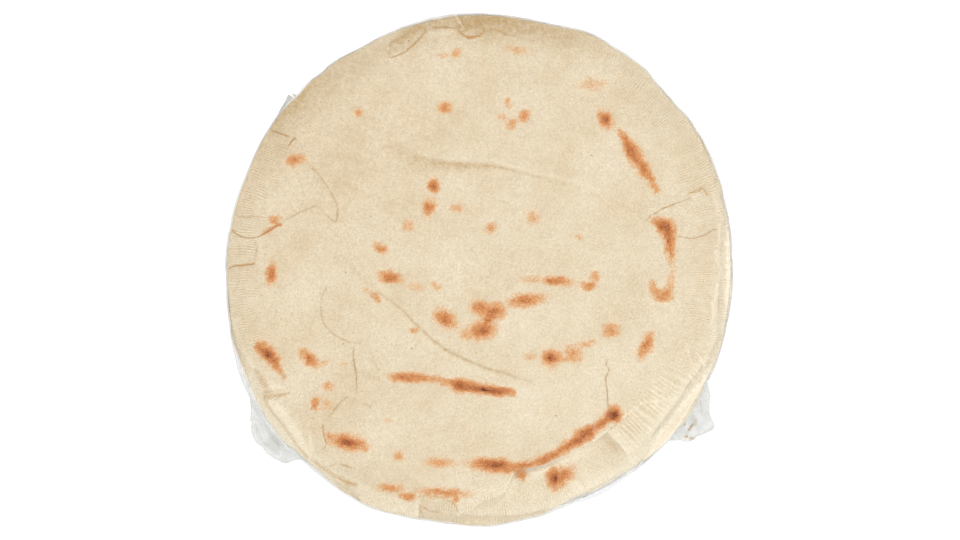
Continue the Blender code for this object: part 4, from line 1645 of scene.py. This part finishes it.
# ------------------------------------------------------------------ the bag
# Wrinkles of the film: how high they are along their points and how strong their painted highlight
# is.
FILM_WRINKLES: tuple[Streak, ...] = (
    Streak(((685, 344, 2.4, 0.7), (688, 351, 3.2, 1.0), (690, 362, 2.4, 0.7))),
    Streak(((694, 350, 2.4, 0.7), (700, 358, 3.0, 1.0), (705, 368, 3.2, 1.1),
            (707, 380, 3.0, 1.0), (704, 386, 3.0, 0.9))),
    Streak(((688, 374, 2.8, 0.9), (694, 381, 3.2, 1.0), (703, 386, 3.0, 1.0))),
    Streak(((690, 362, 2.4, 0.7), (697, 372, 3.0, 1.0), (703, 381, 2.4, 0.8))),
    Streak(((595, 416, 1.6, 0.5), (594, 430, 1.6, 0.4))),
    Streak(((693, 197, 4.5, 0.9), (699, 195, 3.5, 0.7))),
    Streak(((712, 194, 2.4, 0.5), (715, 203, 3.2, 0.8), (717, 212, 2.4, 0.5))),
    Streak(((715, 214, 4.0, 0.6), (721, 217, 3.0, 0.5), (724, 222, 2.4, 0.3))),
    Streak(((718, 224, 3.4, 0.7), (719, 236, 3.6, 0.8), (718, 246, 3.2, 0.6))),
    Streak(((715, 252, 5.6, 0.9), (718, 258, 5.0, 1.0), (720, 262, 3.4, 0.6))),
    Streak(((718, 263, 5.0, 0.9), (720, 270, 5.4, 1.0), (718, 280, 4.4, 0.9))),
    Streak(((717, 284, 4.0, 1.0), (716, 294, 4.6, 1.0), (714, 301, 4.2, 0.9))),
    Streak(((712, 303, 6.0, 1.0), (713, 312, 4.0, 0.9), (711, 324, 3.6, 0.8))),
    Streak(((722, 270, 2.0, 0.5), (727, 280, 2.0, 0.4), (729, 292, 1.8, 0.3))),
    Streak(((455, 15, 2.4, 0.5), (459, 22, 2.4, 0.6), (463, 28, 2.0, 0.3))),
)


@dataclass
class FilmBag:
    """The clear bag: one closed skin over the stack, drawn tight at the side.

    The depth of a ring is its level at first: 0 on top, one more for each ring down the
    side, and the last one under the pack.
    """

    bread: list[Piece]
    shape_radius: float = 0.15
    rays: int = 1100
    top_rings: int = 58
    side_rings: int = 14
    side_spread: float = 0.01
    level_step: float = 1.0 * MM
    under_share: float = 0.93
    top_margin: float = 0.8 * MM
    edge_level: float = 0.3
    hollow: float = 0.25 * MM
    low_inset: float = 0.1 * MM
    low_height: float = 0.9 * MM
    foot_inset: float = 1.2 * MM
    foot_height: float = 0.02 * MM
    clouding: tuple[float, float] = (-0.2 * MM, 0.7 * MM)
    clearing: tuple[float, float] = (1.0 * MM, 2.4 * MM)
    covering: int = 6
    cover_reach: float = 1.4 * MM
    gap: float = 0.30 * MM
    smoothing: int = 6
    haze: float = 0.012
    wrinkle_height: float = 0.35 * MM
    # share of the milky white that paints the highlights of the wrinkles
    wrinkle_highlight: float = 0.70
    wrinkle_levels: tuple[float, float] = (3.0 * MM, 8.0 * MM)

    def zones(self) -> tuple[Zone, ...]:
        """Return the rings, numbered by radius and depth, from the top to the underside."""
        full = self.shape_radius
        side = tuple(
            (full * (1.0 + self.side_spread * ring), -self.level_step * ring)
            for ring in range(1, self.side_rings + 1)
        )
        under = -self.level_step * self.side_rings
        return (
            Zone(96, rings(0.03 * full, 0.22 * full, 8)),
            Zone(360, rings(0.24 * full, 0.66 * full, 26)),
            Zone(self.rays, rings(0.675 * full, full, self.top_rings) + side),
            Zone(360, rings(0.92 * full, 0.60 * full, 5, under)),
            Zone(96, rings(0.52 * full, 0.05 * full, 6, under)),
        )

    def side_profile(self, angle: Points) -> tuple[Points, Points]:
        """Return the taut side: a radius and a height for each sheet's edge and the foot.

        Args:
            angle: The angles.

        Returns:
            Two tables with a row for each step down and a column for each angle.
        """
        below = [outline.edge(angle) for outline in OUTLINES[1:]]
        edges = np.stack([drawn_out(angle)] + below)
        heights = np.stack([
            STACK.top(index, edges[index], angle) - self.edge_level * STACK.wall
            for index in range(len(OUTLINES))
        ])
        radii = edges.copy()
        for _ in range(3):
            middle = 0.5 * (radii[:-2] + radii[2:])
            radii[1:-1] = np.maximum(radii[1:-1], middle - self.hollow)
        last = radii[-1:]
        radii = np.vstack((radii, last - self.low_inset, last - self.foot_inset))
        low, foot = (np.full_like(last, level) for level in (self.low_height, self.foot_height))
        return radii, np.vstack((heights, low, foot))

    def build(self, material: Material) -> Piece:
        """Build the bag over the bread."""
        bag = closed_disc("film_bag", self.zones())
        flat = read_points(bag)
        radius, angle = polar(flat)
        share = radius / self.shape_radius
        level = np.rint(-flat[:, 2] / self.level_step).astype(int)
        top = level == 0
        under = (level == self.side_rings) & (share < self.under_share)
        radii, heights = self.side_profile(angle)
        new_radius, new_height = self.down_the_side(level, radii, heights)
        new_radius = np.where(under, radius, new_radius)
        new_radius = np.where(top, share * (radii[0] - self.top_margin), new_radius)
        new_height = np.where(under | top, 0.0, new_height)
        points = on_plan(new_radius, angle)
        new_height[top] = self.cover_height(points[top])
        write_points(bag, np.column_stack((points, new_height)))
        self.settle(bag, top)
        self.wrinkle(bag)
        beyond = new_radius - (radii.max(axis=0) - slack_at(angle))
        # the side's milky white is partly the film's haze and partly painted reflection
        haze = self.haze + around(SIDE_HAZE_AND_REFLECTION_AT, angle) * smooth(beyond, *self.clouding)
        haze *= 1.0 - around(CLEARING_AT, angle) * smooth(beyond, *self.clearing)
        # the wrinkles add their painted highlights to the milky white
        write_haze(bag, haze + self.marks(read_points(bag)))
        finish_piece(bag, material, FILM_CORNER)
        return bag

    def down_the_side(self, level: Points, radii: Points,
                      heights: Points) -> tuple[Points, Points]:
        """Place each vertex on the taut side.

        Args:
            level: Its level.
            radii: The radii of the side, a row for each step down.
            heights: The heights that go with them.

        Returns:
            Its radius and its height.
        """
        share = np.clip((level - 1) / (self.side_rings - 1.0), 0.0, 1.0)
        step = share * (len(radii) - 1)
        upper = np.minimum(step.astype(int), len(radii) - 2)
        part = step - upper
        column = np.arange(len(level))
        radius, height = (
            table[upper, column] * (1 - part) + table[upper + 1, column] * part
            for table in (radii, heights)
        )
        return radius, height

    def cover_height(self, points: Points) -> Points:
        """Return the height of the bread's highest point near each place."""
        trees = [BVHTree.FromObject(piece, bpy.context.evaluated_depsgraph_get())
                 for piece in self.bread[:self.covering]]
        reach = self.cover_reach
        offsets = ((0.0, 0.0), (reach, 0.0), (-reach, 0.0), (0.0, reach), (0.0, -reach))
        heights = np.zeros(len(points))
        down = Vector((0.0, 0.0, -1.0))
        for row, (x, y) in enumerate(points):
            best = 0.0
            for dx, dy in offsets:
                for tree in trees:
                    hit = tree.ray_cast(Vector((x + dx, y + dy, WELL_ABOVE)), down)[0]
                    if hit is not None and hit.z > best:
                        best = hit.z
            heights[row] = best + self.gap
        return heights

    def settle(self, bag: Piece, top: Points) -> None:
        """Even out the top of the bag, as tight film does."""
        select_vertices(bag, top)
        make_active(bag)
        with editing():
            bpy.ops.mesh.vertices_smooth(factor=0.5, repeat=self.smoothing, xaxis=False,
                                         yaxis=False, zaxis=True)

    def marks(self, points: Points) -> Points:
        """Return how strongly each place lies on a wrinkle."""
        total = np.zeros(len(points))
        for streak in FILM_WRINKLES:
            total = np.maximum(total, streak.at(points[:, :2]))
        return total * smooth(points[:, 2], *self.wrinkle_levels) * self.wrinkle_highlight

    def wrinkle(self, bag: Piece) -> None:
        """Raise the wrinkles of the film."""
        points = read_points(bag)
        points[:, 2] += self.wrinkle_height * self.marks(points)
        write_points(bag, points)


def write_haze(piece: Piece, values: Points) -> None:
    """Store how milky the film is at each vertex."""
    layer = piece.data.attributes.new("haze", "FLOAT", "POINT")
    layer.data.foreach_set("value", np.ascontiguousarray(values, dtype=np.float32))


@dataclass(frozen=True)
class Pleat:
    """A sharp ridge or furrow of crumpled film, in pixels of the view."""

    pixels: tuple[tuple[float, float], ...]
    height: float
    width: float

    def at(self, points: Points) -> Points:
        """Return the ridge's height at each place."""
        gap, _, way = along_line(points, VIEW.place(self.pixels))
        return self.height * np.maximum(0.0, 1.0 - gap / self.width) * end_taper(way, 0.2)


@dataclass
class FilmFlap:
    """A corner of the bag: a flat pocket of film, crumpled, milky along its pleats."""

    name: str
    outline: tuple[tuple[float, float], ...]
    pleats: tuple[Pleat, ...]
    root_radius: float = 0.1475
    root_height: float = 5.4 * MM
    tip_height: float = 2.2 * MM
    columns: int = 150
    rows: int = 44
    thickness: float = 0.16 * MM
    pocket_depth: float = 0.7 * MM
    least_height: float = 0.9 * MM
    least_foot: float = 0.2 * MM
    spread_power: float = 0.9
    slope_power: float = 0.8
    loose_from: tuple[float, float] = (0.05, 0.35)
    hem_span: tuple[float, float] = (0.93, 0.99)
    haze_from: tuple[float, float] = (0.02, 0.25)
    most_haze: float = 0.9
    full_crease: float = 1.2 * MM
    crumple_bands: Bands = (
        (17.0 * MM, 0.16 * MM, 5), (7.0 * MM, 0.04 * MM, 7), (3.2 * MM, 0.010 * MM, 6),
    )
    haze: float = 0.50
    seed: int = 7

    def build(self, material: Material) -> Piece:
        """Build the corner as one flat closed pocket of film."""
        deselect_all()
        bpy.ops.mesh.primitive_grid_add(
            x_subdivisions=self.columns, y_subdivisions=self.rows, size=1.0,
        )
        pocket = bpy.context.object
        pocket.name = self.name
        grid = read_points(pocket)
        along, out = grid[:, 0] + 0.5, grid[:, 1] + 0.5
        edge_radius, edge_angle = polar(VIEW.place(self.outline))
        start, end = edge_angle.min(), edge_angle.max()
        angle = start + along * (end - start)
        order = np.argsort(edge_angle)
        rim = np.interp(angle, edge_angle[order], edge_radius[order])
        reach = out**self.spread_power
        radius = self.root_radius + (rim - self.root_radius) * reach
        points = on_plan(radius, angle)
        folds = sum(pleat.at(points) for pleat in self.pleats)
        crumple = Swells2D(self.seed, self.crumple_bands).at(points)
        loose = smooth(out, *self.loose_from)
        slope = (self.tip_height - self.root_height) * reach**self.slope_power
        height = self.root_height + slope
        height = np.maximum(height + (folds + crumple) * loose, self.least_height)
        write_points(pocket, np.column_stack((points, height)))
        crease = np.clip(np.abs(folds) / self.full_crease, 0.0, 1.0)
        hem = smooth(out, *self.hem_span)
        haze = self.haze * (0.5 + 0.5 * crease + 0.35 * hem + 0.8 * np.abs(crumple) / MM)
        haze = haze * smooth(out, *self.haze_from)
        write_haze(pocket, np.clip(haze, 0.0, self.most_haze))
        count = len(points)
        make_active(pocket)
        wall = pocket.modifiers.new("wall", "SOLIDIFY")
        wall.thickness = self.thickness
        wall.offset = -1.0
        bpy.ops.object.modifier_apply(modifier=wall.name)
        places = read_points(pocket)
        places[count:, 2] -= self.pocket_depth * np.sin(np.pi * np.clip(out, 0.0, 1.0)) * loose
        places[:, 2] = np.maximum(places[:, 2], self.least_foot)
        write_points(pocket, places)
        tidy_normals(pocket)
        finish_piece(pocket, material, FILM_CORNER)
        return pocket


LEFT_FLAP = FilmFlap(
    "film_corner_left",
    ((245.7, 385), (248, 391.3), (249.5, 400.5), (250.3, 409), (250, 416.3), (249.2, 421.2),
     (251.5, 422.3), (250.3, 427.5), (250.9, 433.2), (253.8, 440.7), (257.8, 445.3),
     (261.8, 447.6), (265.3, 453.3), (271.6, 457.9), (279, 461.9), (284.2, 463.9),
     (287.6, 463.4), (292.8, 460.8), (298, 459.8), (303.7, 461.3), (310.6, 465.9)),
    (
        Pleat(((255, 413), (259, 425), (266, 440), (275, 452), (283, 458)), -0.4 * MM, 2.6 * MM),
        Pleat(((253, 421), (256, 433), (262, 443), (270, 451)), 1.0 * MM, 1.8 * MM),
        Pleat(((262, 424), (270, 437), (279, 449), (291, 457)), 0.8 * MM, 2.4 * MM),
        Pleat(((251, 417), (256, 421), (263, 426)), 0.8 * MM, 1.5 * MM),
        Pleat(((253, 404), (256, 414), (261, 420)), 0.6 * MM, 1.6 * MM),
    ),
)

RIGHT_FLAP = FilmFlap(
    "film_corner_right",
    ((656.3, 453.2), (661.5, 446.3), (666.1, 441.8), (671.8, 440.9), (681, 440.6),
     (685.6, 442.3), (690.2, 442), (694.8, 440), (697.6, 437.2), (706.3, 433.7),
     (713.1, 430.3), (715.7, 426.3), (712, 418.8), (710, 412.5), (710, 404.4),
     (711.1, 396.4), (709.4, 387.8), (708.6, 383.8)),
    (
        Pleat(((690, 405), (694, 416), (697, 430)), 0.7 * MM, 1.8 * MM),
        Pleat(((702, 398), (703, 412), (707, 428)), 0.8 * MM, 2.0 * MM),
        Pleat(((699, 421), (692, 428), (686, 437)), 0.7 * MM, 1.6 * MM),
        Pleat(((708, 408), (704, 420), (697, 434)), -0.6 * MM, 1.6 * MM),
        Pleat(((672, 436), (681, 431), (686, 424)), 0.5 * MM, 1.8 * MM),
    ),
    root_height=5.2 * MM, seed=23,
)


UPPER_TAB = FilmFlap(
    "film_tab_upper_left",
    ((297.5, 101), (296, 96.5), (294, 93.2), (290.8, 91.8), (288.2, 94), (286, 99),
     (283, 104.5), (280, 109.5), (276.8, 115.5), (273.5, 121), (271, 125.5)),
    (), root_radius=0.1495, root_height=9.0 * MM, tip_height=8.0 * MM, columns=60, rows=16,
    pocket_depth=0.3 * MM, haze=1.1, seed=29,
)


# ------------------------------------------------------------------ the crumbs
@dataclass(frozen=True)
class Crumb:
    """A crumb of scorched crust: its place in the view, its size and its turn."""

    x: float
    y: float
    z: float
    size: tuple[float, float, float]
    turn: float
    heat: float


@dataclass
class Crumbs:
    """Crumbs of crust that have slipped into the lower right corner of the bag."""

    crumbs: tuple[Crumb, ...] = (
        Crumb(684.5, 422.0, 3.6 * MM, (1.0 * MM, 2.4 * MM, 0.5 * MM), 6, 0.15),
        Crumb(691.0, 428.0, 3.2 * MM, (0.6 * MM, 2.6 * MM, 0.4 * MM), -38, 0.12),
        Crumb(696.5, 421.5, 3.3 * MM, (0.4 * MM, 1.1 * MM, 0.3 * MM), -38, 0.08),
        Crumb(687.0, 437.0, 2.6 * MM, (1.2 * MM, 0.8 * MM, 0.4 * MM), 20, 0.19),
        Crumb(692.4, 438.6, 2.6 * MM, (1.3 * MM, 0.7 * MM, 0.4 * MM), 15, 0.24),
        Crumb(682.0, 419.5, 3.8 * MM, (1.0 * MM, 0.7 * MM, 0.4 * MM), 40, 0.12),
    )
    waves: int = 9
    roughness: float = 0.07
    wave_pitch: float = 3.2
    crust: tuple[float, float, float] = (0.4, 0.0, 0.3)
    seed: int = 31

    def build(self, material: Material) -> Piece:
        """Build all crumbs as one piece."""
        rng = np.random.default_rng(self.seed)
        lumps = []
        for crumb in self.crumbs:
            deselect_all()
            bpy.ops.mesh.primitive_ico_sphere_add(subdivisions=4, radius=1.0)
            lump = bpy.context.object
            points = read_points(lump)
            rough = np.ones(len(points))
            for _ in range(self.waves):
                heading = rng.normal(0.0, 1.0, 3)
                wave = points @ heading * self.wave_pitch + rng.uniform(0.0, 6.3)
                rough += self.roughness * np.sin(wave)
            points = points * rough[:, None] * crumb.size
            turn = math.radians(crumb.turn)
            x = points[:, 0] * math.cos(turn) - points[:, 1] * math.sin(turn)
            y = points[:, 0] * math.sin(turn) + points[:, 1] * math.cos(turn)
            place = VIEW.place([(crumb.x, crumb.y)])[0]
            write_points(lump, np.column_stack((x + place[0], y + place[1],
                                                points[:, 2] + crumb.z)))
            colours = np.tile((crumb.heat, *self.crust), (len(points), 1))
            layer = lump.data.color_attributes.new("crust", "FLOAT_COLOR", "POINT")
            layer.data.foreach_set("color", colours.astype(np.float32).ravel())
            lumps.append(lump)
        deselect_all()
        for lump in lumps:
            lump.select_set(True)
        bpy.context.view_layer.objects.active = lumps[0]
        bpy.ops.object.join()
        crumbs = bpy.context.object
        crumbs.name = "crumbs"
        finish_piece(crumbs, material, CRUMB_CORNER)
        return crumbs


# ------------------------------------------------------------------ the studio
@dataclass(frozen=True)
class Softbox:
    """A square soft light: where it hangs, as seen from the pack, its side and its power."""

    name: str
    heading: tuple[float, float, float]
    size: float
    power: float


@dataclass
class Studio:
    """White board, a soft key light from the far side and a camera straight above."""

    lens: float = 187.5
    sensor: float = 36.0
    view_width: float = 960 * VIEW.pixel
    view_level: float = 12.0 * MM
    boxes: tuple[Softbox, ...] = (
        Softbox("key", (0.10, 0.42, 1.0), 1.7, 12.5),
        Softbox("fill_south_east", (0.34, -0.30, 1.0), 1.7, 12.7),
        Softbox("fill_south_west", (-0.34, -0.30, 1.0), 1.7, 8.6),
        Softbox("fill_north_west", (-0.42, 0.12, 1.0), 1.7, 5.0),
    )
    box_distance: float = 2.2
    zenith: float = 0.30
    horizon: float = 1.30
    sky_span: tuple[float, float] = (0.05, 0.80)
    sky: str = "FCFDFF"
    board_size: float = 8.0
    board_level: float = -0.2 * MM
    farthest: float = 20.0

    def build(self) -> None:
        """Build the board, the lights and the camera."""
        self.board()
        self.lights()
        self.camera()

    def board(self) -> None:
        """Lay the board that the pack rests on."""
        deselect_all()
        location = (0.0, 0.0, self.board_level)
        bpy.ops.mesh.primitive_plane_add(size=self.board_size, location=location)
        board = bpy.context.object
        board.name = "board"
        board.data.materials.append(LightBoard("white_light_board").build())

    def lights(self) -> None:
        """Hang the soft boxes and set the sky, which is brightest low down."""
        for box in self.boxes:
            heading = Vector(box.heading).normalized()
            bpy.ops.object.light_add(type="AREA", location=heading * self.box_distance)
            lamp = bpy.context.object
            lamp.name = box.name
            lamp.data.shape = "SQUARE"
            lamp.data.size = box.size
            lamp.data.energy = box.power
            lamp.rotation_euler = heading.to_track_quat("Z", "Y").to_euler()
        world = bpy.context.scene.world or bpy.data.worlds.new("sky")
        bpy.context.scene.world = world
        world.use_nodes = True
        world.node_tree.nodes.clear()
        tree = world.node_tree
        heading = add_node(tree, "TexCoord").outputs["Generated"]
        level = add_node(tree, "SeparateXYZ", links={0: heading}).outputs["Z"]
        low, high = self.sky_span
        strength = add_node(
            tree, "MapRange",
            {"interpolation_type": "SMOOTHSTEP", "From Min": low, "From Max": high,
             "To Min": self.horizon, "To Max": self.zenith}, {"Value": level},
        ).outputs["Result"]
        ground = add_node(tree, "Background", {"Color": linear(self.sky)},
                          {"Strength": strength})
        add_node(tree, "OutputWorld", links={"Surface": ground.outputs[0]})

    def camera(self) -> None:
        """Set the camera straight above, far off through a long lens."""
        distance = self.view_width * self.lens / self.sensor
        height = self.view_level + distance
        bpy.ops.object.camera_add(location=(*VIEW.shift, height), rotation=(0.0, 0.0, 0.0))
        camera = bpy.context.object
        camera.data.lens = self.lens
        camera.data.sensor_width = self.sensor
        camera.data.clip_end = self.farthest
        bpy.context.scene.camera = camera
        bpy.context.scene.view_settings.view_transform = "Standard"


def main() -> None:
    """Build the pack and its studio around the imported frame."""
    logging.basicConfig(level=logging.INFO, format="%(name)s %(message)s")
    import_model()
    Studio().build()

    crust = BakedCrust("baked_semolina_crust").build()
    film = ClearFilm("clear_polypropylene_film").build()
    crumpled = ClearFilm("crumpled_polypropylene_film", milk_and_highlight="DCDBD3",
                         low_milk_and_reflection="DAD9D1").build()
    bread: list[Piece] = []
    bread.extend(TopSheet().build())
    for index in range(1, len(OUTLINES)):
        bread.extend(BreadSheet(index=index, seed=11 + index).build())
    FilmBag(bread).build(film)
    for piece in bread:
        finish_piece(piece, crust)
    for flap in (LEFT_FLAP, RIGHT_FLAP, UPPER_TAB):
        flap.build(crumpled)
    Crumbs().build(crust)


if __name__ == "__main__":
    main()
